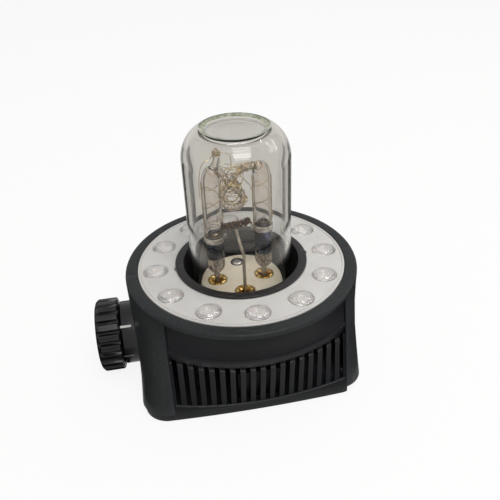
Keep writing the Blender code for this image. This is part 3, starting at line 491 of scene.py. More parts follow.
# %% Wire helpers
def smooth_route(points, per_span=6):
    """Points on a smooth curve through the given ones. Any further numbers are smoothed too."""
    anchors = [Vector(point) for point in points]
    anchors = [2 * anchors[0] - anchors[1]] + anchors + [2 * anchors[-1] - anchors[-2]]
    route = []
    for a, b, c, d in zip(anchors, anchors[1:], anchors[2:], anchors[3:]):
        for step in range(per_span):
            t = step / per_span
            route.append(0.5 * (2 * b + (c - a) * t + (2 * a - 5 * b + 4 * c - d) * t ** 2
                                + (3 * b - a - 3 * c + d) * t ** 3))
    return route + [anchors[-2]]


def wire(route, radius, sides, shape=None, inward=False):
    """Skins a round wire along a route in millimetres. Radius is one value or one for each point."""
    shape = shape or bmesh.new()
    points = [Vector(point[:3]) * MM for point in route]
    radii = [radius] * len(points) if isinstance(radius, (int, float)) else radius
    heading = (points[1] - points[0]).normalized()
    across = heading.orthogonal().normalized()
    rings = []
    for index, point in enumerate(points):
        back = points[max(index - 1, 0)]
        ahead = points[min(index + 1, len(points) - 1)]
        turn = (ahead - back).normalized()
        across = heading.rotation_difference(turn) @ across
        heading = turn
        side = heading.cross(across)
        ring = []
        for step in range(sides):
            angle = 2 * math.pi * step / sides * (1 if inward else -1)
            reach = across * math.cos(angle) + side * math.sin(angle)
            ring.append(shape.verts.new(point + reach * radii[index] * MM))
        rings.append(ring)
    skin(shape, rings)
    shape.faces.new(rings[0])
    shape.faces.new(rings[-1][::-1])
    return shape


print("wire helpers ready")

# %% [markdown]
# The housing's flank is ruled between a rounded rectangle at the foot and a circle at the rim. It stands
# on a foot that is 2.4 mm off centre towards the knob. A place on it has three numbers: how far round
# (whole numbers are the starts of corners and sides), how high, and how far in from the surface.

# %% Housing flank
RIM_RADIUS, RIM_TOP = 59.0, 55.6
FOOT_X, FOOT_Y, FOOT_CORNER, FOOT_BOW, FOOT_SHIFT = 55.6, 50.0, 13.0, 1.3, -2.4
LOFT_FOOT, LOFT_TOP = 5.0, 53.0
REACH_X, REACH_Y = FOOT_X - FOOT_CORNER, FOOT_Y - FOOT_CORNER


def foot(turn, inset):
    """Point on the foot's outline, about the middle of the foot, in millimetres."""
    part, share = divmod(turn % 8, 1)
    sign_x, sign_y = ((1, 1), (-1, 1), (-1, -1), (1, -1))[int(part) // 2]
    radius = FOOT_CORNER - inset
    if part % 2 == 0:
        angle = math.pi / 2 * (part / 2 + share)
        return sign_x * REACH_X + radius * math.cos(angle), sign_y * REACH_Y + radius * math.sin(angle)
    run = 1 - 2 * share
    if part % 4 == 1:
        return sign_x * REACH_X * run, sign_y * (REACH_Y + radius + FOOT_BOW * (1 - run ** 2))
    return sign_x * (REACH_X + radius), sign_y * REACH_Y * run


def flank(turn, height, inset):
    """Point on the housing's flank in millimetres."""
    share = max(0.0, (LOFT_TOP - height) / (LOFT_TOP - LOFT_FOOT))
    base_x, base_y = foot(turn, 0.0)
    x, y = foot(turn, inset)
    angle = math.atan2(base_y, base_x)
    reach = (RIM_RADIUS - inset) * (1 - share)
    return Vector((reach * math.cos(angle) + (x + FOOT_SHIFT) * share,
                   reach * math.sin(angle) + y * share, height))


def turn_at(axis, value, height, inset, low, high):
    """How far round the flank crosses a plane, between two turns."""
    start = flank(low, height, inset)[axis] < value
    for _ in range(30):
        middle = (low + high) / 2
        if (flank(middle, height, inset)[axis] < value) == start:
            low = middle
        else:
            high = middle
    return (low + high) / 2


print("rim point:", [round(part, 1) for part in flank(7.5, RIM_TOP, 0.0)])

# %% [markdown]
# A moulded wall is built as a grid of cells with an outer and an inner face. Each row has a height and an
# inset, each column a place round the flank, and cells that are left out become windows, whose edges are
# then closed. So the vents and the window need no cutting, and the bevels run clean.


# %% Wall of cells
def wall(rows, columns, missing, mirror, lift=None):
    """Builds a wall. A row is (outer, inner), each (height, inset). A column gives its turn for both.
    Lift gives the extra height of a corner, for rows that run in an arc."""
    shape = bmesh.new()
    corners = {}

    def corner(row, column, side):
        key = (row, column, side)
        if key not in corners:
            height, inset = rows[row][side]
            if lift:
                height += lift(row, column)
            if side == 0:
                inset, height = columns[column][1](row, height, inset)
            spot = flank(columns[column][0](height, inset), height, inset)
            if mirror:
                spot.y = -spot.y
            corners[key] = shape.verts.new(spot * MM)
        return corners[key]

    spots = [(row, column) for row in range(len(rows) - 1) for column in range(len(columns) - 1)]
    cells = [spot for spot in spots if not missing(*spot)]
    kept = set(cells)
    for row, column in cells:
        ring = [(row, column), (row, column + 1), (row + 1, column + 1), (row + 1, column)]
        shape.faces.new([corner(*key, 0) for key in ring])
        shape.faces.new([corner(*key, 1) for key in reversed(ring)])
        neighbours = [(row - 1, column), (row, column + 1), (row + 1, column), (row, column - 1)]
        for start, end, neighbour in zip(ring, ring[1:] + ring[:1], neighbours):
            if neighbour not in kept:
                shape.faces.new([corner(*end, 0), corner(*start, 0), corner(*start, 1), corner(*end, 1)])
    return shape


def front_turn(x, height, inset):
    """How far round the front of the flank crosses the plane of one X."""
    return turn_at(0, x, height, inset, 3.2, 7.8)


def same(row, height, inset):
    """Leaves a row's own height and inset as they are."""
    return inset, height


def at_x(x, depth=same):
    """A column in the plane of one X, on the front."""
    return (lambda height, inset: front_turn(x, height, inset)), depth


print("the middle of the front is at turn", round(front_turn(0.0, LOFT_FOOT, 0.0), 2))

# %% [markdown]
# Each shell half runs from the seam at one side, past the window for its cover, to the seam at the other
# side. Over the window only the rim is left. The rim's outer edge is a generous round, and its inner side
# steps down to the seat of the lamp ring. The rear half is the front half's mirror image.

# %% Shell halves
WINDOW_HALF, WINDOW_TOP, WINDOW_ROW = 43.05, 53.3, 7
SEAM_HALF, SHELL_WALL, RIM_ROUND, RIM_UNDER = 0.2, 2.4, 1.3, 51.4
shell_rows = [((height, 0.0), (height, SHELL_WALL)) for height in (5.0, 12.0, 22.0, 32.0, 42.0, 49.0)]
shell_rows += [((53.0, 0.0), (51.0, SHELL_WALL)), ((WINDOW_TOP, 0.0), (RIM_UNDER, SHELL_WALL)),
               ((RIM_TOP - RIM_ROUND, 0.0), (RIM_UNDER, 2.6))]
for step in range(1, 6):
    angle = math.pi / 2 * step / 5
    outer = (RIM_TOP - RIM_ROUND * (1 - math.sin(angle)), RIM_ROUND * (1 - math.cos(angle)))
    shell_rows.append((outer, (RIM_UNDER, 2.6 + 0.4 * step)))
RIM_INSIDE = [(55.6, 4.2, 5.0), (55.6, 6.1, 5.8), (54.3, 6.1, 6.6), (53.7, 6.1, 7.4), (53.7, 8.4, 8.4)]
shell_rows += [((height, outer), (RIM_UNDER, inner)) for height, outer, inner in RIM_INSIDE]


def side_column(side, share):
    """A column between a seam (share 0) and the window's edge (share 1) on side -1 or +1."""
    seam_turns = (3.0, 4.2) if side < 0 else (7.0, 7.9)

    def turn(height, inset):
        seam = turn_at(1, -SEAM_HALF, height, inset, *seam_turns)
        return seam + (front_turn(side * WINDOW_HALF, height, inset) - seam) * share

    return turn, same


SIDE_COLUMNS, WINDOW_COLUMNS = 18, 44
shell_columns = [side_column(-1, step / SIDE_COLUMNS) for step in range(SIDE_COLUMNS)]
for step in range(WINDOW_COLUMNS + 1):
    shell_columns.append(at_x(WINDOW_HALF * (2 * step / WINDOW_COLUMNS - 1)))
shell_columns += [side_column(1, 1 - step / SIDE_COLUMNS) for step in range(1, SIDE_COLUMNS + 1)]


def in_window(row, column):
    """True for the cells of the cover's window."""
    return row < WINDOW_ROW and SIDE_COLUMNS <= column < SIDE_COLUMNS + WINDOW_COLUMNS


for name, mirror in (("front_shell", False), ("rear_shell", True)):
    shape = wall(shell_rows, shell_columns, in_window, mirror)
    piece(name + "_moulding", shape, shell_abs, "housing", "housing_plastic", name, bevel_mm=0.25)

# %% [markdown]
# The front cover fills the window. From the top down it has a shallow plain field, a slope that leads
# inward, and seventeen vent bars that stand out of it, each with a bright facet on top, over a narrow
# ledge. All these lines run in shallow arcs, lowest in the middle. The rear cover is the same moulding
# without the sunk field.

# %% Covers
BAR_COUNT, BAR_PITCH, SLOT_HALF, COVER_HALF = 17, 4.75, 1.125, 43.0
FIELD_LOW, FIELD_DEPTH, BAR_DEPTH, FRAME_DEPTH, COVER_INNER = 38.2, 0.65, 0.8, 0.12, 2.8
COVER_STATIONS = [(5.0, 0.15, 5.0), (6.0, FRAME_DEPTH, 6.2), (6.4, BAR_DEPTH, 6.5), (12.0, BAR_DEPTH, 12.0),
                  (19.0, BAR_DEPTH, 19.0), (26.0, BAR_DEPTH, 26.0), (30.2, BAR_DEPTH, 30.2),
                  (30.7, 1.75, 30.9), (32.3, 1.6, 32.3), (36.9, FRAME_DEPTH, 36.9),
                  (FIELD_LOW, 0.1, FIELD_LOW), (FIELD_LOW + 0.1, FIELD_DEPTH, 38.6),
                  (46.0, FIELD_DEPTH, 46.0), (53.0, FIELD_DEPTH, 50.5), (53.25, FIELD_DEPTH, 51.0)]
cover_rows = [((outer, depth), (inner, COVER_INNER)) for outer, depth, inner in COVER_STATIONS]
COVER_RISE = [0.0, 3.8, 4.0, 4.0, 4.0, 4.0, 3.9, 3.9, 3.7, 3.0, 2.8, 2.8, 1.2, 0.0, 0.0]
VENT_LOW, VENT_HIGH, FIELD_ROW = 2, 8, 11
STRIP_IN, STRIP_OUT = 42.3, 42.5
cover_x = [-COVER_HALF, -STRIP_OUT, -STRIP_IN]
for slot in range(BAR_COUNT + 1):
    centre = (slot - BAR_COUNT / 2) * BAR_PITCH
    cover_x += [centre - SLOT_HALF, centre + SLOT_HALF]
cover_x += [STRIP_IN, STRIP_OUT, COVER_HALF]


def arc_lift(row, column):
    """How far a row of the cover rises towards its ends."""
    return COVER_RISE[row] * (cover_x[column] / 41.0) ** 2


def frame_depth(row, height, inset):
    """The cover's own surface at the strips beside the vents and the sunk field."""
    return FRAME_DEPTH, height


def plain_depth(row, height, inset):
    """The surface of a cover without a sunk field."""
    return (inset if row < FIELD_ROW else FRAME_DEPTH), height


def cover_columns(inside):
    """Columns of a cover: an edge strip, then slots and bars in turn."""
    return [at_x(x, frame_depth if abs(x) >= STRIP_OUT else inside) for x in cover_x]


def in_slot(row, column):
    """True for the cells of the slots."""
    return VENT_LOW <= row < VENT_HIGH and column % 2 == 1 and 3 <= column < 2 * BAR_COUNT + 5


for name, inside, mirror in (("front_grille", same, False), ("rear_grille", plain_depth, True)):
    shape = wall(cover_rows, cover_columns(inside), in_slot, mirror, arc_lift)
    piece(name + "_moulding", shape, cover_abs, "housing", "cover_plastic", name, bevel_mm=0.16)

# %% [markdown]
# The white lamp ring has a lip at its inner edge, a groove and a lip at its outer edge, and twelve holes
# with chamfered mouths. It is turned first and then drilled by one tool that has the chamfers on it.

# %% Lamp ring
RING_TOP, LAMP_COUNT, LAMP_CIRCLE = 56.0, 12, 43.75
lamp_spots = [(LAMP_CIRCLE * math.cos(math.tau * index / LAMP_COUNT),
               LAMP_CIRCLE * math.sin(math.tau * index / LAMP_COUNT)) for index in range(LAMP_COUNT)]
profile = [(31.6, RING_TOP, 0.3), (34.3, RING_TOP), (34.5, RING_TOP - 0.15), (51.0, RING_TOP - 0.15),
           (51.1, RING_TOP - 0.45), (51.45, RING_TOP - 0.45), (51.6, RING_TOP, 0.1), (52.6, RING_TOP, 0.3),
           (52.6, RING_TOP - 2.0), (31.6, RING_TOP - 2.0)]
shape = turned(profile, steps=144, closed=True)
tool = bmesh.new()
drill = [(0.0, 60.0), (6.95, 56.4), (6.05, 55.35), (5.95, 55.0), (5.95, 52.0), (0.0, 52.0)]
for spot in lamp_spots:
    turned(drill, steps=40, centre=spot, shape=tool)
shape = cut(shape, tool)
piece("lamp_ring", shape, white_abs, "housing", "white_plastic", "reflector_ring", sharp=30)

# %% [markdown]
# Each modelling lamp has a clear acrylic lens that gathers the light: a flat rim, and a dome covered
# with small pillows that blur the image of the lamp. The pillows follow the golden-angle spiral, as seeds
# in a sunflower do, so they cover the round face evenly. They are real geometry, since each one throws
# its own spark of light.

# %% Lamp lenses
LENS_RADIUS, LENS_STEPS, DOME_EDGE, DOME_RISE = 5.7, 40, 4.75, 1.2
PILLOW_COUNT, PILLOW_RISE, PILLOW_REACH, GOLDEN_ANGLE = 36, 0.34, 0.82, 2.39996
pillow_spots = []
for index in range(PILLOW_COUNT):
    reach = DOME_EDGE * math.sqrt((index + 0.5) / PILLOW_COUNT)
    pillow_spots.append((reach * math.cos(GOLDEN_ANGLE * index), reach * math.sin(GOLDEN_ANGLE * index)))


def lens_height(x, y):
    """Height of the lens's upper face over the ring, in millimetres."""
    reach = math.hypot(x, y)
    if reach >= DOME_EDGE:
        return -0.12
    crown = DOME_RISE * (1 - (reach / DOME_EDGE) ** 2) - 0.25
    near = min(math.hypot(x - px, y - py) for px, py in pillow_spots)
    return crown + PILLOW_RISE * (1 - (near / PILLOW_REACH) ** 2) * min(1.0, (DOME_EDGE - reach) / 0.4)


def lens_shape(centre):
    """A closed lens at a lamp's place: pillowed face, rim and a cone below."""
    shape = bmesh.new()
    face = [DOME_EDGE * (step / 17) for step in range(18)] + [5.0, 5.45]
    body = [(LENS_RADIUS, 55.63), (LENS_RADIUS, 54.9), (5.2, 54.6), (3.4, 52.9), (0.0, 52.9)]
    rings = []
    for reach, level in [(reach, None) for reach in face] + body:
        ring = []
        for step in range(LENS_STEPS if reach else 1):
            angle = math.tau * step / LENS_STEPS
            x, y = reach * math.cos(angle), reach * math.sin(angle)
            height = level or RING_TOP + lens_height(x, y)
            ring.append(shape.verts.new(((centre[0] + x) * MM, (centre[1] + y) * MM, height * MM)))
        rings.append(ring)
    skin(shape, rings)
    return shape


for index, spot in enumerate(lamp_spots, 1):
    name = "led_lens_%02d" % index
    piece("lamp_lens_%02d" % index, lens_shape(spot), lens_acrylic, "housing", "lens_acrylic", name, sharp=60)

# %% [markdown]
# Below the lenses lies the lamp board, white so that no light is lost, with the twelve lamps on it. Each
# is a small square carrier with a phosphor cap, in a white cup that throws its light up. The heat sink
# under the board stays as packed and takes its metal below.

# %% Lamp board
shape = turned([(34.0, 50.4, 0.1), (52.0, 50.4, 0.1), (52.0, 48.8), (34.0, 48.8)], steps=96, closed=True)
piece("lamp_board", shape, white_mask, "housing", "circuit_board", "led_board")
carriers, caps, cups = bmesh.new(), bmesh.new(), bmesh.new()
for x, y in lamp_spots:
    turned([(5.9, 53.9), (5.9, 53.5), (2.6, 51.3), (2.6, 51.6), (3.6, 52.6)], 36, (x, y), True, shape=cups)
    block((x - 1.75, y - 1.75, 50.42), (x + 1.75, y + 1.75, 51.1), carriers)
    turned([(0.0, 51.45), (0.9, 51.35), (1.3, 51.1), (1.3, 51.11), (0.0, 51.11)], 20, (x, y), shape=caps)
piece("lamp_carriers", carriers, white_mask, "housing", "circuit_board", bevel_mm=0.12)
piece("lamp_caps", caps, phosphor, "housing", "circuit_board")
piece("lamp_cups", cups, white_abs, "housing", "white_plastic")

# %% [markdown]
# The collar is one black moulding with the wall and the floor of the well. Its flat top stands a little
# over the ring. Two small bumps show at the sides, where the mould halves met, and three short ribs on
# the rear wall keep the dome centred. A turned profile gives all but the bumps and ribs in one go. The
# floor is drilled for the tails of the three sockets and for a screw.

# %% Collar
SOCKET_SPOTS = {"left": (-12.7, 0.6), "right": (12.1, 0.6), "front": (-0.4, -12.0)}
SCREW_SPOT = (0.0, 14.4)
profile = [(0.0, 32.0), (29.3, 32.0, 0.6), (29.3, 57.2, 0.45), (33.6, 57.2, 0.45), (33.6, 56.3, 0.1),
           (31.2, 56.3), (31.2, 30.2), (0.0, 30.2)]
shape = turned(profile, steps=144)
holes = bmesh.new()
for spot, radius in [(spot, 4.0) for spot in SOCKET_SPOTS.values()] + [(SCREW_SPOT, 1.8)]:
    turned([(0.0, 36.0), (radius, 36.0), (radius, 28.0), (0.0, 28.0)], 24, spot, shape=holes)
shape = cut(shape, holes)
piece("collar_moulding", shape, collar_abs, "housing", "cover_plastic", "well_collar")
ribs = bmesh.new()
spin = Matrix.Rotation(math.radians(74), 4, "Z")
for low in (52.9, 50.9, 48.3):
    block((28.3, -3.3, low), (29.6, 3.3, low + 0.7), ribs, spin)
piece("collar_ribs", ribs, collar_abs, "housing", "cover_plastic", bevel_mm=0.3)
bumps = bmesh.new()
for side in (-1, 1):
    block((side * 33.9 - 0.35, -2.6, 56.32), (side * 33.9 + 0.1, -0.4, 57.1), bumps)
piece("collar_bumps", bumps, collar_abs, "housing", "cover_plastic", bevel_mm=0.2)

# %% [markdown]
# The tube base is a ceramic disc with three seats for the sockets and one for its screw. The screw is
# pan-headed, with a cross recess whose arms taper inward.

# %% Tube base and screw
shape = turned([(0.0, 46.0), (21.2, 46.0, 0.7), (21.2, 32.3, 0.3), (0.0, 32.3)], steps=96)
tool = bmesh.new()
for spot in SOCKET_SPOTS.values():
    turned([(0.0, 48.0), (5.5, 46.2), (5.2, 45.9), (5.2, 44.4), (3.7, 44.4), (3.7, 30.0), (0.0, 30.0)], 36,
           spot, shape=tool)
turned([(0.0, 48.0), (4.0, 46.2), (3.75, 45.9), (3.75, 43.0), (1.8, 43.0), (1.8, 30.0), (0.0, 30.0)], 36,
       SCREW_SPOT, shape=tool)
piece("ceramic_base", cut(shape, tool), steatite, "housing", "ceramic", "tube_base", sharp=30)


def cross_screw(name, spot, head_top, head, thick, shank_end, node, up=1):
    """A pan-head screw with a cross recess. Up is -1 where the head faces down."""
    low = head_top - up * thick
    profile = [(0.0, head_top), (head * 0.55, head_top - up * 0.05), (head * 0.85, head_top - up * 0.35),
               (head, head_top - up * 0.9), (head, low), (1.5, low), (1.5, shank_end), (0.0, shank_end)]
    shape = turned(profile, 32, spot)
    tool = bmesh.new()
    arm, half = head * 0.62, 0.42
    for size in ((arm, half), (half, arm)):
        low_z, high_z = sorted((head_top - up * 1.15, head_top + up))
        block((spot[0] - size[0], spot[1] - size[1], low_z), (spot[0] + size[0], spot[1] + size[1], high_z),
              tool)
    shape = cut(shape, tool, crossing=True)
    piece(name, shape, plated_steel, "housing", "steel", node, sharp=30)


cross_screw("base_cross_screw", SCREW_SPOT, 46.2, 2.9, 1.7, 28.0, "tube_base_screw")
# A dark steel ring fills the seat round the screw head and darkens the gap there.
dark_ring = [(3.0, 46.05), (3.65, 46.05, 0.1), (3.65, 44.4), (3.0, 44.4)]
piece("screw_dark_ring", turned(dark_ring, 48, SCREW_SPOT, closed=True), heat_tinted, "housing", "steel")

# %% [markdown]
# The sockets are gilt brass spring contacts. A collar is slit into eight petals that grip the pin, and
# each petal dips towards the dark hole in the middle.


# %% Sockets
def socket_shape(spot):
    """A slit contact: petals round a hole, on a tail that goes through the base."""
    profile = [(0.0, 32.0), (1.7, 32.0), (1.7, 45.2, 0.4), (2.6, 46.1), (3.7, 46.5, 0.3), (4.9, 46.2, 0.3),
               (4.9, 44.7), (3.4, 44.7), (3.4, 27.5, 0.3), (0.0, 27.5)]
    shape = turned(profile, 48, spot)
    tool = bmesh.new()
    for index in range(4):
        spin = Matrix.Translation((spot[0] * MM, spot[1] * MM, 0)) @ Matrix.Rotation(
            math.radians(22.5 + 45 * index), 4, "Z")
        block((-6, -0.36, 44.95), (6, 0.36, 50), tool, spin)
    return cut(shape, tool, crossing=True)


for side, spot in SOCKET_SPOTS.items():
    piece("contact_" + side, socket_shape(spot), gilt_brass, "housing", "brass", "socket_" + side, sharp=28)

# %% [markdown]
# The discharge tube is one quartz tube: two wide legs joined by arches to a narrow loop, which hangs
# between them and crosses itself at its neck. A glassblower bends it hot from one piece. So one route is
# drawn through all of it, with the tube's radius as a fourth number at each point. The feet of the legs
# are pinched round the pins in small glass bulbs.

# %% Route of the tube
LEG_LOW, LEG_HIGH, LEG_RADIUS, LOOP_RADIUS = 52.5, 101.0, 4.5, 1.4
LOOP_X, LOOP_Y, LOOP_LOW, LOOP_HALF = -3.6, -6.2, 91.0, 5.0
CROSSING = LOOP_LOW + 2 * LOOP_HALF + 2.4
left_x, leg_y = SOCKET_SPOTS["left"]
right_x = SOCKET_SPOTS["right"][0]
FOOT_BULB = [(-1.2, 1.7), (-0.6, 2.7), (0.6, 3.7), (2.4, 4.4), (4.6, 4.55), (7.0, 4.3)]
LEG_RISES = [8.6, 14.0, 27.5, 41.5, LEG_HIGH - LEG_LOW]


def leg_route(leg_x, sign):
    """Route of a leg from its foot over its arch to the loop, with a radius at each point."""
    rises = FOOT_BULB + [(rise, LEG_RADIUS) for rise in LEG_RISES]
    leg = [(leg_x, leg_y, LEG_LOW + rise, radius) for rise, radius in rises]
    arch = [(0.2, 0.0, 3.6, 4.3), (1.0, -0.3, 6, 3.5), (2.8, -1.0, 7.5, 2.2)]
    return leg + [(leg_x - sign * inward, leg_y + y, LEG_HIGH + rise, radius)
                  for inward, y, rise, radius in arch]


def loop_point(angle, depth):
    """Point on the round part of the loop."""
    turn = math.radians(angle)
    return (LOOP_X + LOOP_HALF * math.cos(turn), LOOP_Y + depth, LOOP_LOW + LOOP_HALF * (1 + math.sin(turn)),
            LOOP_RADIUS)


loop = [(LOOP_X - 4.4, LOOP_Y + 2.0, CROSSING + 4.6, LOOP_RADIUS),
        (LOOP_X - 2.2, LOOP_Y - 0.8, CROSSING + 2.2, LOOP_RADIUS)]
loop += [loop_point(46 - 27.2 * step, -2.4 + 0.42 * step) for step in range(11)]
loop += [(LOOP_X + 2.2, LOOP_Y + 2.6, CROSSING + 2.4, LOOP_RADIUS),
         (LOOP_X + 6.0, LOOP_Y + 3.4, CROSSING + 5.2, LOOP_RADIUS),
         (LOOP_X + 10.2, LOOP_Y + 5.2, LEG_HIGH + 7.6, LOOP_RADIUS + 0.3)]
route = smooth_route(leg_route(left_x, -1) + loop + leg_route(right_x, 1)[::-1], 5)
print("tube route:", len(route), "points")

# %% [markdown]
# The tube is hollow, so it has an outer and an inner skin, and light bends at both. A solid rod would act
# as a strong lens. The wall is 0.8 mm in the legs and 0.5 mm in the loop. The feet take the seal glass on
# the outside, and a dark metal film lines the legs round the electrodes, with pale blue vertical streaks
# painted on it as highlights.

# %% Quartz tube
FILM_TOP = 73.5
outer = [point[3] for point in route]
glass_wall = [0.5 + 0.3 * min(1.0, max(0.0, (radius - LOOP_RADIUS) / 2.5)) for radius in outer]
inner = [radius - thick for radius, thick in zip(outer, glass_wall)]
inside = [index for index, point in enumerate(route) if point[2] > LEG_LOW + 7.5 or abs(point[0]) < 6]
shape = wire(route, outer, 28)
outer_count = len(shape.faces)
wire([route[index] for index in inside], [inner[index] for index in inside], 28, shape, inward=True)
tube = piece("quartz_tube", shape, quartz, "flash_tube", "quartz_glass", "flash_tube", recalc=False)
tube.data.materials.append(seal_glass)
# The inner skin of the legs takes the film, with its painted highlight streaks.
tube.data.materials.append(film_and_painted_streaks)
for face in tube.data.polygons:
    height = face.center.z / MM
    if face.index < outer_count and height < LEG_LOW + 8.0:
        face.material_index = 1
    elif face.index >= outer_count and height < FILM_TOP:
        face.material_index = 2

# %% [markdown]
# Over the left leg stands the tip, a thin stub that was drawn out and melted shut once the tube had been
# pumped empty and filled. It narrows in steps, as glass does when it is pulled by hand.

# %% Tip of the tube
TIP_STATIONS = [(1.0, -0.1, 5.2, 2.9), (2.2, -0.3, 8.2, 2.2), (3.2, -0.6, 11.0, 1.75),
                (3.7, -0.8, 14.0, 1.45), (3.8, -0.8, 17.5, 1.05), (3.8, -0.8, 20.3, 0.4)]
tip = smooth_route([(left_x + x, leg_y + y, LEG_HIGH + rise, radius) for x, y, rise, radius in TIP_STATIONS])
shape = wire(tip, [point[3] for point in tip], 20)
piece("quartz_tip", shape, quartz, "flash_tube", "quartz_glass")

# %% [markdown]
# Inside each leg stands an electrode: a dark molybdenum sleeve, tinted by heat, on a stem that passes
# through the glass to the plug pin. Both are turned pieces, so each is one profile.

# %% Electrodes and pins
for side in ("left", "right"):
    spot = SOCKET_SPOTS[side]
    sleeve = [(0.0, 75.5), (1.5, 75.5, 0.3), (2.0, 74.2, 0.5), (3.1, 73.2, 0.5), (3.15, 67.4), (2.95, 67.2),
              (2.95, 66.8), (3.15, 66.6), (3.1, 62.5, 0.7), (1.6, 60.5, 0.4), (0.0, 60.5)]
    piece("electrode_sleeve_" + side, turned(sleeve, 36, spot), heat_tinted, "flash_tube", "electrode_metal",
          "electrode_" + side)
    pin = [(0.0, 60.0), (0.9, 60.0, 0.2), (0.9, 51.6), (1.3, 50.9, 0.3), (1.3, 49.5, 0.2), (1.6, 49.2, 0.1),
           (1.6, 48.4, 0.1), (1.3, 48.1, 0.1), (1.3, 34.1, 0.3), (0.9, 33.5), (0.0, 33.5)]
    piece("plug_pin_" + side, turned(pin, 28, spot), rod_steel, "flash_tube", "electrode_metal")

# %% [markdown]
# A bright steel band clips the outside of each leg and holds the trigger coil. It is a strip bent round
# the glass with a bead at each edge, and its ends stand out side by side like two ears. The beads are in
# the turned profile, and two small blocks are the ears.

# %% Leg bands
BAND_HEIGHTS = {"left": 71.5, "right": 75.0}
for side, height in BAND_HEIGHTS.items():
    spot = SOCKET_SPOTS[side]
    band = [(4.65, height + 1.5), (5.0, height + 1.5, 0.1), (5.15, height + 0.9), (5.0, height + 0.3),
            (5.0, height - 0.3), (5.15, height - 0.9), (5.0, height - 1.5, 0.1), (4.65, height - 1.5)]
    shape = turned(band, 40, spot, closed=True)
    inward_x = 1 if side == "left" else -1
    x0, x1 = sorted((spot[0] + inward_x * 4.9, spot[0] + inward_x * 6.2))
    block((x0, spot[1] - 0.5, height - 1.2), (x1, spot[1] + 0.1, height + 1.2), shape)
    block((x0, spot[1] + 0.3, height - 1.2), (x1, spot[1] + 0.9, height + 1.2), shape)
    piece("leg_band_" + side, shape, band_steel, "flash_tube", "steel", "clip_" + side)

# %% [markdown]
# The trigger coil is copper wire, browned by heat, wound by hand on a dark core, so its turns are uneven
# and lie over each other. It sags slightly between the legs. Its rod plugs in the front socket. The
# turns are real wires, because their glints are what tells a coil from a bar. The random numbers start
# from a fixed seed, so that each run winds the same coil.


# %% Trigger coil and rod
def helix(centre_line, radius, pitch, wander, per_turn=10):
    """Winds a route round a centre line with a given pitch in millimetres. Wander makes it uneven."""
    points = [Vector(point[:3]) for point in centre_line]
    route, angle, swell = [], 0.0, 0.0
    for start, end in zip(points, points[1:]):
        heading = (end - start).normalized()
        across = heading.cross(Vector((0, 1, 0))).normalized()
        side = heading.cross(across)
        steps = max(1, round((end - start).length / pitch * per_turn))
        for step in range(steps):
            swell += (random.uniform(-wander, wander) - swell) * 0.3
            reach = across * math.cos(angle) + side * math.sin(angle)
            drift = heading * swell * pitch * 0.5
            route.append(start + (end - start) * step / steps + reach * radius * (1 + swell) + drift)
            angle += math.tau / per_turn
    return route


random.seed(7)
coil_line = []
for step in range(13):
    share = step / 12
    coil_line.append((-8.3 + 14.2 * share, leg_y + 0.2, 77.3 + 1.6 * share - 1.0 * math.sin(math.pi * share)))
piece("coil_core", wire(coil_line, 1.0, 12), varnish, "flash_tube", "copper_wire")
shape = wire(helix(coil_line, 1.4, 0.8, 0.35), 0.3, 6)
wire(helix(coil_line, 1.75, 1.7, 0.6), 0.3, 6, shape)
wire(helix(coil_line[::-1], 1.8, 2.6, 0.7), 0.24, 6, shape)
piece("coil_winding", shape, oxidised_copper, "flash_tube", "copper_wire", "trigger_coil")
front_x, front_y = SOCKET_SPOTS["front"]
rod = [(front_x, front_y, 33.5), (front_x, front_y, 50.0), (front_x, front_y, 60.0), (front_x, front_y, 64.4),
       (front_x + 0.2, front_y + 0.4, 66.4), (front_x - 1.0, front_y + 6.0, 72.2),
       (front_x - 1.5, front_y + 10.4, 75.7)]
piece("plug_rod", wire(smooth_route(rod, 6), 0.8, 14), rod_steel, "flash_tube", "steel", "trigger_rod")

# %% [markdown]
# Fine bare wire carries the trigger pulse over the glass. On each leg it makes a loose turn or two, a few
# turns at the band, and strands down the sides. Loose wire is never regular, so each turn wanders a
# little. The real wire is hair-thin. It is drawn 0.26 to 0.4 mm thick, as coarse as it needs to show.


# %% Wires on the legs
def around(leg, start, turns, low, high, wander, radius=4.72, per_turn=14):
    """Route wound round a leg, from a start angle in degrees, wandering a little in height."""
    steps = int(per_turn * turns)
    route = []
    phase = random.uniform(0, math.tau)
    for step in range(steps + 1):
        share = step / steps
        angle = math.radians(start) + math.tau * turns * share
        lift = wander * math.sin(angle * 1.7 + phase)
        loose = radius + 0.25 * wander * math.sin(angle * 2.3 + phase)
        route.append((leg[0] + loose * math.cos(angle), leg[1] + loose * math.sin(angle),
                      low + (high - low) * share + lift))
    return route


strands = bmesh.new()
for side, low in (("left", 81.0), ("right", 78.0)):
    leg = SOCKET_SPOTS[side]
    wire(around(leg, 200, 2.3, low, 102.5, 0.9, 4.95, 18), 0.16, 6, strands)
    wire(around(leg, 40, 2.2, 72.5, 77.0, 0.15), 0.14, 6, strands)
    for angle in (168, 184, 2):
        turn = math.radians(angle)
        spot = (leg[0] + 4.76 * math.cos(turn), leg[1] + 4.76 * math.sin(turn))
        bow = random.uniform(-0.5, 0.5)
        line = [(spot[0], spot[1], 72.0), (spot[0] + 0.1 * bow, spot[1], 80.0),
                (spot[0], spot[1] + bow, 90.0), (spot[0], spot[1], 102.5)]
        wire(smooth_route(line, 4), 0.15, 6, strands)
print("wires on the legs:", len(strands.faces), "faces")

# %% [markdown]
# All along the hanging loop and its right arm the wire is wound in two layers that run against each
# other. A tight coil sits round the tip. Between them the wire lies in a tangle. Each arc of that is part
# of an ellipse with a tilt of its own, which looks less regular than any spiral.

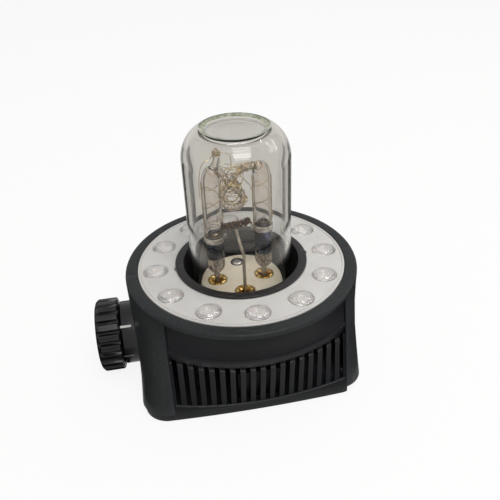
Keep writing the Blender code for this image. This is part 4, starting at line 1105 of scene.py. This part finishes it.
# %% Wires on the loop
loop_line = [point for point in route if abs(point[0] - LOOP_X) < LOOP_HALF + 2.4 and point[1] < -1.5]
wire(helix(loop_line, LOOP_RADIUS + 0.3, 2.1, 0.2, 9), 0.13, 5, strands)
wire(helix(loop_line[::-1], LOOP_RADIUS + 0.6, 3.6, 0.5, 9), 0.13, 5, strands)
arm = [point for point in route if point[0] > 0.0 and point[2] > CROSSING and point[3] < 3.4]
wire(helix(arm, LOOP_RADIUS + 0.6, 1.7, 0.3, 9), 0.17, 5, strands)
wire(helix(arm[::-1], LOOP_RADIUS + 0.9, 2.9, 0.5, 9), 0.17, 5, strands)
neck = (left_x + 3.7, leg_y - 0.75)
wire(around(neck, 30, 4.2, 115.4, 119.6, 0.35, 1.85), 0.2, 6, strands)
for _ in range(20):
    centre = Vector((LOOP_X + random.uniform(-2.0, 2.5), LOOP_Y + random.uniform(-1.0, 1.5),
                     random.uniform(LOOP_LOW + 5.0, CROSSING + 5.0)))
    lean = Matrix.Rotation(random.uniform(-0.7, 0.7), 3, "Y")
    tilt = lean @ Matrix.Rotation(random.uniform(0.5, 1.7), 3, "X")
    wide, tall = random.uniform(3.2, 6.4), random.uniform(2.4, 5.0)
    first, sweep = random.uniform(0, math.tau), random.uniform(2.4, 6.0)
    bow = []
    for step in range(9):
        angle = first + sweep * step / 8
        bow.append(centre + tilt @ Vector((wide * math.cos(angle), tall * math.sin(angle), 0.3 * step)))
    wire(smooth_route(bow, 4), 0.16, 5, strands)
print("with wires on the loop:", len(strands.faces), "faces")

# %% [markdown]
# Four loose ends run free: one from the tip down outside the left leg, one in a bow beside the tip, one
# across the front of the loop, and one from arch to arch. They are placed one by one, since they are what
# the eye picks out in the tangle.

# %% Loose wires
LOOSE_WIRES = [
    [(-9.6, 0.4, 117.5), (-12.4, -0.6, 114.4), (-15.6, -1.4, 112.6), (-17.5, -1.2, 108.6),
     (-18.3, -0.8, 100.4), (-18.2, -1.0, 94.5)],
    [(-8.8, -1.4, 117.6), (-6.2, -1.6, 118.3), (-3.4, -1.8, 117.0), (-2.8, -2.6, 112.0),
     (-3.6, -4.6, 108.8)],
    [(-9.4, -1.5, 111.0), (-4.0, -6.4, 110.6), (-1.7, -7.8, 109.6), (1.4, -8.4, 106.6),
     (4.6, -8.0, 102.6), (5.4, -7.2, 99.4)],
    [(-10.0, 3.4, 108.6), (-6.0, 3.6, 109.6), (-1.0, 3.2, 108.0), (4.0, 2.6, 109.2),
     (8.6, 2.2, 108.4)]]
for line in LOOSE_WIRES:
    wire(smooth_route(line, 6), 0.16, 6, strands)
piece("trigger_strands", strands, fine_wire, "flash_tube", "nickel_wire", "trigger_wire")

# %% [markdown]
# The dome is borosilicate glass blown in a mould, with a crown of 2.4 mm and a wall of 2.5 mm. Its
# outer and inner skins are one closed profile, so light bends through real glass. A long smooth-shaded
# face next to a fillet would bend it wrongly, so a ring of points close to each fillet keeps the wall's
# own direction. The crown's flat disc is sunk by 0.85 mm, and the slope round it takes the greenish,
# half-clear glass of painted shade.

# %% Dome
DOME_RADIUS, DOME_TOP, DOME_WALL, DOME_FLAT, SHOULDER, DOME_FOOT = 25.6, 128.8, 2.5, 16.4, 16.0, 34.6
CROWN_DIP, CROWN_EDGE, CROWN_WALL = 0.85, 13.7, 2.4
edge = math.acos(1 - (DOME_RADIUS - DOME_FLAT) / SHOULDER)
spring = DOME_TOP - SHOULDER * math.sin(edge)
dip = DOME_TOP - CROWN_DIP
profile = [(0.0, dip), (CROWN_EDGE - 0.9, dip), (CROWN_EDGE, dip + 0.05), (CROWN_EDGE + 0.35, dip + 0.18),
           (DOME_FLAT - 0.35, DOME_TOP - 0.08)]
for step in range(13):
    angle = edge * (1 - step / 12)
    profile.append((DOME_RADIUS - SHOULDER + SHOULDER * math.cos(angle), spring + SHOULDER * math.sin(angle)))
wall_in = DOME_RADIUS - DOME_WALL
profile += [(DOME_RADIUS, spring - 1.0), (DOME_RADIUS, DOME_FOOT + 2.0), (DOME_RADIUS, DOME_FOOT, 0.8),
            (wall_in, DOME_FOOT, 0.8), (wall_in, DOME_FOOT + 2.0), (wall_in, spring - 1.0)]
ceiling = dip - CROWN_WALL
for step in range(15):
    angle = math.pi / 2 * step / 14
    profile.append((CROWN_EDGE + (wall_in - CROWN_EDGE) * math.cos(angle),
                    spring + (ceiling - spring) * math.sin(angle)))
profile.append((0.0, ceiling))
dome = piece("dome_glass", turned(profile, 128), dome_glass, "glass_dome", "clear_glass", "glass_dome",
             sharp=20)
# The crown's slope takes the painted-shade glass.
dome.data.materials.append(crown_shade_glass)
for face in dome.data.polygons:
    reach = math.hypot(face.center.x, face.center.y) / MM
    face.material_index = int(CROWN_EDGE < reach < DOME_FLAT - 0.3 and face.center.z / MM > dip)

# %% [markdown]
# The clamp knob has 22 flat-topped ribs. Each station along its length is a ring whose radius falls off
# in the grooves. The depth of the groove and the radius change from the back, over a small chamfer, to
# the outer face, where the ribs end in bright facets. Cutting 22 grooves from a disc would work too, but
# its facets would have sharp, uneven ends.

# %% Knob
RIB_COUNT, PER_RIB, KNOB_HEIGHT = 22, 12, 19.8


def groove(step):
    """How deep in the groove a step of a rib is, from 0 on top to 1 at the bottom."""
    phase = abs(((step / PER_RIB) + 0.5) % 1 - 0.5) * 2
    return min(1.0, max(0.0, (phase - 0.50) / 0.22))


stations = [(-65.3, 4.3, 0.0), (-65.3, 15.5, 0.0), (-65.3, 17.2, 0.0), (-65.6, 18.1, 0.4), (-66.2, 18.9, 1.3),
            (-70.0, 18.9, 1.5), (-75.4, 18.9, 1.5), (-76.2, 18.3, 1.3), (-76.9, 17.5, 0.8),
            (-77.3, 16.5, 0.2), (-77.5, 15.8, 0.0), (-77.6, 15.0, 0.0), (-77.6, 9.6, 0.0), (-77.4, 8.9, 0.0),
            (-76.6, 8.6, 0.0), (-74.3, 8.6, 0.0), (-74.3, 4.3, 0.0)]
shape = bmesh.new()
rings = []
for along, radius, depth in stations:
    ring = []
    for step in range(RIB_COUNT * PER_RIB):
        angle = math.tau * step / (RIB_COUNT * PER_RIB)
        reach = radius - depth * groove(step)
        ring.append(shape.verts.new((along * MM, reach * math.cos(angle) * MM,
                                     (KNOB_HEIGHT + reach * math.sin(angle)) * MM)))
    rings.append(ring)
skin(shape, rings, closed=True)
piece("fluted_knob", shape, knob_abs, "clamp_knob", "knob_plastic", "clamp_knob", sharp=30)
along_x = Matrix.Translation((0, 0, KNOB_HEIGHT * MM)) @ Matrix.Rotation(math.pi / 2, 4, "Y")
cap = [(0.0, -77.45), (6.6, -77.5), (8.3, -77.55, 0.4), (8.3, -76.9), (0.0, -76.9)]
piece("knob_cover_cap", turned(cap, 64, matrix=along_x), cover_abs, "clamp_knob", "cover_plastic", "knob_cap")

# %% [markdown]
# Behind the knob is a round boss on the housing, with a white index line of inlaid paint across its rim
# that shows how far the knob is turned. Lower down, a fainter grey line is a painted highlight where light
# catches the boss. Both stand out by only five hundredths of a millimetre.

# %% Boss and index lines
boss = [(4.3, -65.0), (15.2, -65.0, 0.3), (16.4, -64.6, 0.4), (16.4, -52.0), (4.3, -52.0)]
piece("boss_moulding", turned(boss, 96, matrix=along_x, closed=True), knob_abs, "housing",
      "housing_plastic", "knob_boss")
# The grey strip is a painted highlight on the boss.
for name, turn, width, paint in (("index_line", 131.5, 1.15, index_paint),
                                 ("boss_painted_highlight", 190, 0.8, painted_highlight_grey)):
    spin = Matrix.Translation((0, 0, KNOB_HEIGHT * MM)) @ Matrix.Rotation(math.radians(turn - 90), 4, "X")
    shape = block((-65.0, -width / 2, 16.2), (-59.6, width / 2, 16.45), None, spin)
    piece(name, shape, paint, "housing", "housing_plastic")

# %% [markdown]
# The underside: a plinth plate with rounded edges, screwed on from below, and in its middle the socket
# that takes a mounting spigot, with a plug connector at its end. Notches at the right-hand corners leave
# room for a finger. The plate is one loft of the foot's outline, drilled in one go.

# %% Base plate
PLATE_STEPS, POST_X, POST_Y, NOTCH_X, NOTCH_Y = 160, 50.6, 20.0, 43.9, 36
shape = bmesh.new()
rings = []
for inset, height in [(1.8, 0.0), (1.35, 0.12), (1.08, 0.45), (1.0, 0.9), (1.0, 4.7)]:
    ring = []
    for step in range(PLATE_STEPS):
        spot = flank(8 * step / PLATE_STEPS, LOFT_FOOT, inset)
        ring.append(shape.verts.new((spot.x * MM, spot.y * MM, height * MM)))
    rings.append(ring)
skin(shape, rings)
shape.faces.new(rings[0])
shape.faces.new(rings[-1])
tool = turned([(0.0, 9.0), (19.3, 9.0), (19.3, 0.6), (20.2, -0.3), (20.2, -1.0), (0.0, -1.0)], 72)
POST_SPOTS = [(FOOT_SHIFT + x * POST_X, y * POST_Y) for x in (-1, 1) for y in (-1, 1)]
for spot in POST_SPOTS:
    turned([(0.0, 9.0), (1.8, 9.0), (1.8, 2.6), (3.5, 2.6), (3.5, -1.0), (0.0, -1.0)], 24, spot, shape=tool)
for side in (-1, 1):
    low_y, high_y = sorted((side * NOTCH_Y, side * 90))
    block((NOTCH_X, low_y, -2), (90, high_y, 9), tool)
piece("plinth_plate", cut(shape, tool), shell_abs, "housing", "housing_plastic", "base_plate", bevel_mm=0.2)
for index, spot in enumerate(POST_SPOTS, 1):
    cross_screw("plinth_screw_%d" % index, spot, 0.5, 3.2, 1.8, 12.0, "base_screw_%d" % index, up=-1)

# %% [markdown]
# The socket cup and its plug are seen only from below. The cup is turned with a chamfered mouth and has
# a window for the clamp shoe. The plug carries four gilt pins in its recesses.

# %% Spigot socket and plug
cup = [(0.0, 26.5), (22.0, 26.5, 0.5), (22.0, 6.6), (25.0, 6.6), (25.0, 5.0), (19.6, 5.0), (19.0, 5.8),
       (19.0, 25.0), (0.0, 25.0)]
shape = cut(turned(cup, 72), block((-40, -7.3, 15.9), (-10, 7.3, 23.7)))
piece("spigot_cup", shape, inner_abs, "housing", "cover_plastic", "spigot_socket")
plug = [(0.0, 24.7), (11.0, 24.7), (11.0, 20.7), (10.2, 19.7, 0.4), (0.0, 19.7)]
tool = bmesh.new()
pin_spots = [(6.0 * math.cos(math.tau * index / 4), 6.0 * math.sin(math.tau * index / 4))
             for index in range(4)]
for spot in pin_spots:
    turned([(0.0, 22.7), (1.3, 22.7), (1.3, 20.2), (1.7, 19.0), (0.0, 19.0)], 20, spot, shape=tool)
piece("plug_body", cut(turned(plug, 64), tool), knob_abs, "housing", "knob_plastic", "plug_connector")
for index, spot in enumerate(pin_spots, 1):
    pin = [(0.0, 22.4), (1.0, 22.4), (1.0, 14.4, 0.4), (0.5, 13.7), (0.0, 13.7)]
    piece("gilt_pin_%d" % index, turned(pin, 20, spot), gilt_brass, "housing", "brass",
          "contact_pin_%d" % index)

# %% [markdown]
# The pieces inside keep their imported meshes, because their shapes are right and they show only through
# the vents and from below. Each one gets the material of the real thing.

# %% Inner pieces
INNER_FINISHES = {
    "heat_sink": aluminium, "dome_seal": silicone, "clamp_spindle": plated_steel, "clamp_shoe": plated_steel,
    "fan_frame": inner_abs, "fan_rotor": inner_abs, "trigger_transformer": varnish,
    "trigger_lead": oxidised_copper, "control_board": solder_mask}
for name, material in INNER_FINISHES.items():
    nodes[name].data.materials.clear()
    nodes[name].data.materials.append(material)
print("inner pieces:", len(INNER_FINISHES))

# %% [markdown]
# The stage is a plain pale floor. Towards the camera it looks white. Gloss and glass see it at about half
# that level, through glass a trace warmer, as in the photograph. Its own colour still takes the object's
# shadow. Making the lamps brighter would also whiten it, but every pale piece would lose its colour.


# %% Floor
def warmer_in_glass(owner, path):
    """White, and a trace warmer for rays that come through glass."""
    mix = add_node(owner, "Mix", {0: path["Is Transmission Ray"], 6: tone("#FFFFFF"), 7: tone("#FFF9F2")},
                   data_type="RGBA")
    return mix.outputs[2]


shape = bmesh.new()
bmesh.ops.create_circle(shape, cap_ends=True, segments=64, radius=4.0)
floor = as_object("floor", shape)
floor.location.z = cad_box[0].z - 0.0002
paper = bpy.data.materials.new("white_paper")
paper.use_nodes = True
paper.node_tree.nodes.clear()
path = add_node(paper, "LightPath").outputs
seen = add_node(paper, "Math", {0: path["Is Camera Ray"], 1: path["Is Glossy Ray"]}, operation="MAXIMUM")
seen = add_node(paper, "Math", {0: seen.outputs[0], 1: path["Is Transmission Ray"]}, operation="MAXIMUM")
share = add_node(paper, "MapRange", {"Value": path["Is Camera Ray"], "To Min": 0.92, "To Max": 0.88})
share = add_node(paper, "Math", {0: seen.outputs[0], 1: share.outputs[0]}, operation="MULTIPLY")
level = add_node(paper, "MapRange", {"Value": path["Is Camera Ray"], "To Min": 0.55, "To Max": 1.0})
sheet = add_node(paper, "BsdfDiffuse", {"Color": tone("#F4F3F0")})
glow = add_node(paper, "Emission", {"Color": warmer_in_glass(paper, path), "Strength": level.outputs[0]})
both = add_node(paper, "MixShader", {0: share.outputs[0], 1: sheet.outputs[0], 2: glow.outputs[0]})
add_node(paper, "OutputMaterial", {"Surface": both.outputs[0]})
floor.data.materials.append(paper)
floor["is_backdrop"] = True
print("floor at", round(floor.location.z / MM, 2), "mm")

# %% [markdown]
# The room is an even, pale world, a little brighter where gloss sees it. What stands in the well is lit
# only through the dome. The renderer lets lamps through glass poorly, where a real room would light it
# well, so rays that leave a dull surface and then pass glass meet a brighter world. That lights the
# ceramic and the well, and nothing outside the glass.

# %% World
ROOM_LEVEL, GLOSS_LEVEL, THROUGH_GLASS = 0.5, 0.66, 1.5
room = bpy.data.worlds.new("room")
bpy.context.scene.world = room
room.use_nodes = True
room.node_tree.nodes.clear()
path = add_node(room, "LightPath").outputs
gloss = add_node(room, "MapRange", {"Value": path["Is Glossy Ray"], "To Min": ROOM_LEVEL,
                                    "To Max": GLOSS_LEVEL})
bounced = add_node(room, "Math", {0: path["Diffuse Depth"], 1: path["Is Transmission Ray"]},
                   operation="MULTIPLY")
inside = add_node(room, "Math", {0: bounced.outputs[0], 1: THROUGH_GLASS}, operation="MULTIPLY")
level = add_node(room, "Math", {0: path["Is Camera Ray"], 1: gloss.outputs[0]}, operation="MAXIMUM")
level = add_node(room, "Math", {0: level.outputs[0], 1: inside.outputs[0]}, operation="MAXIMUM")
level = add_node(room, "Math", {0: level.outputs[0], 1: THROUGH_GLASS}, operation="MINIMUM")
sky = add_node(room, "Background", {"Color": warmer_in_glass(room, path), "Strength": level.outputs[0]})
add_node(room, "OutputWorld", {"Surface": sky.outputs[0]})
print("room level", ROOM_LEVEL)

# %% [markdown]
# The lamps are soft and few, so that a colour renders about as it is written. One stands for the window
# whose bright square shows on the dome's shoulder. Three thin strips draw the slanted streaks on its
# right. A strip's power follows its area, so all three look equally bright.

# %% Lamps
LAMP_AIM, STRIP_GLOW = (0, 0, 0.115), 16.0


def soft_lamp(name, spot, size, power, along=(1, 0, 0)):
    """A soft lamp, its size in metres, aimed at the dome. Along is the direction of its width."""
    light = bpy.data.lights.new(name, "AREA")
    light.shape = "RECTANGLE"
    light.size, light.size_y = size
    light.energy = power
    lamp = bpy.data.objects.new(name, light)
    back = (Vector(spot) - Vector(LAMP_AIM)).normalized()
    across = Vector(along)
    across = (across - back * across.dot(back)).normalized()
    turn = Matrix((across, back.cross(across), back)).transposed().to_4x4()
    lamp.matrix_world = Matrix.Translation(spot) @ turn
    lamp.visible_camera = False
    bpy.context.scene.collection.objects.link(lamp)
    print(name, round(power, 2), "W")


STRIPS = [((0.62, 0.10, 0.80), (0.90, -0.16, 0.50), 0.02),
          ((0.70, 0.30, 0.73), (0.95, 0.02, 0.40), 0.025),
          ((0.52, 0.20, 0.92), (0.60, 0.02, 0.90), 0.015)]
soft_lamp("top_light", (0.3, 0.45, 0.8), (0.6, 0.4), 0.5)
soft_lamp("window_light", (0.09, -0.4, 0.78), (0.44, 0.5), 3.2)
soft_lamp("window_top_light", (0.02, 0.02, 0.96), (0.36, 0.05), 0.3)
for index, (start, end, width) in enumerate(STRIPS):
    middle = (Vector(start) + Vector(end)) / 2
    run = Vector(end) - Vector(start)
    power = STRIP_GLOW * width * run.length * math.pi
    soft_lamp("strip_light_%d" % index, middle, (run.length, width), power, run)

# %% [markdown]
# Clear glass in a white room has no edges. Photographers put black cards beside it, whose reflections
# draw its outline. Two cards here are seen only through the glass, and two flat ones beside the foot only
# in gloss, where they keep the black housing black. None of them takes light from the object.

# %% Black cards
card_black, _ = new_material("black_card", "#0A0A0A", 0.9)


def black_card(name, low, high, turn, in_gloss, in_glass):
    """A black card beside the object, seen only in gloss or only through glass, as a flag in a studio."""
    card = as_object(name, block(low, high))
    card.data.materials.append(card_black)
    card.rotation_euler.z = math.radians(turn)
    card.visible_camera = False
    card.visible_diffuse = False
    card.visible_shadow = False
    card.visible_glossy = in_gloss
    card.visible_transmission = in_glass
    card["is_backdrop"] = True
    print(name, "at", turn, "degrees")


for turn in (45, 115):
    black_card("glass_flag_%d" % turn, (123, -16, 0), (125, 16, 95), turn, False, True)
for name, low_x, high_x in (("gloss_flag_left", -260, -64), ("gloss_flag_right", 64, 260)):
    black_card(name, (low_x, -60, 0.2), (high_x, 240, 0.6), 0, True, False)
bpy.context.scene.view_settings.view_transform = "Standard"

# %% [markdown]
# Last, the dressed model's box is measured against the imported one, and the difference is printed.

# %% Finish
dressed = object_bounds()
growth = (dressed[1] - dressed[0]) - (cad_box[1] - cad_box[0])
print("grown by mm:", [round(part / MM, 2) for part in growth])
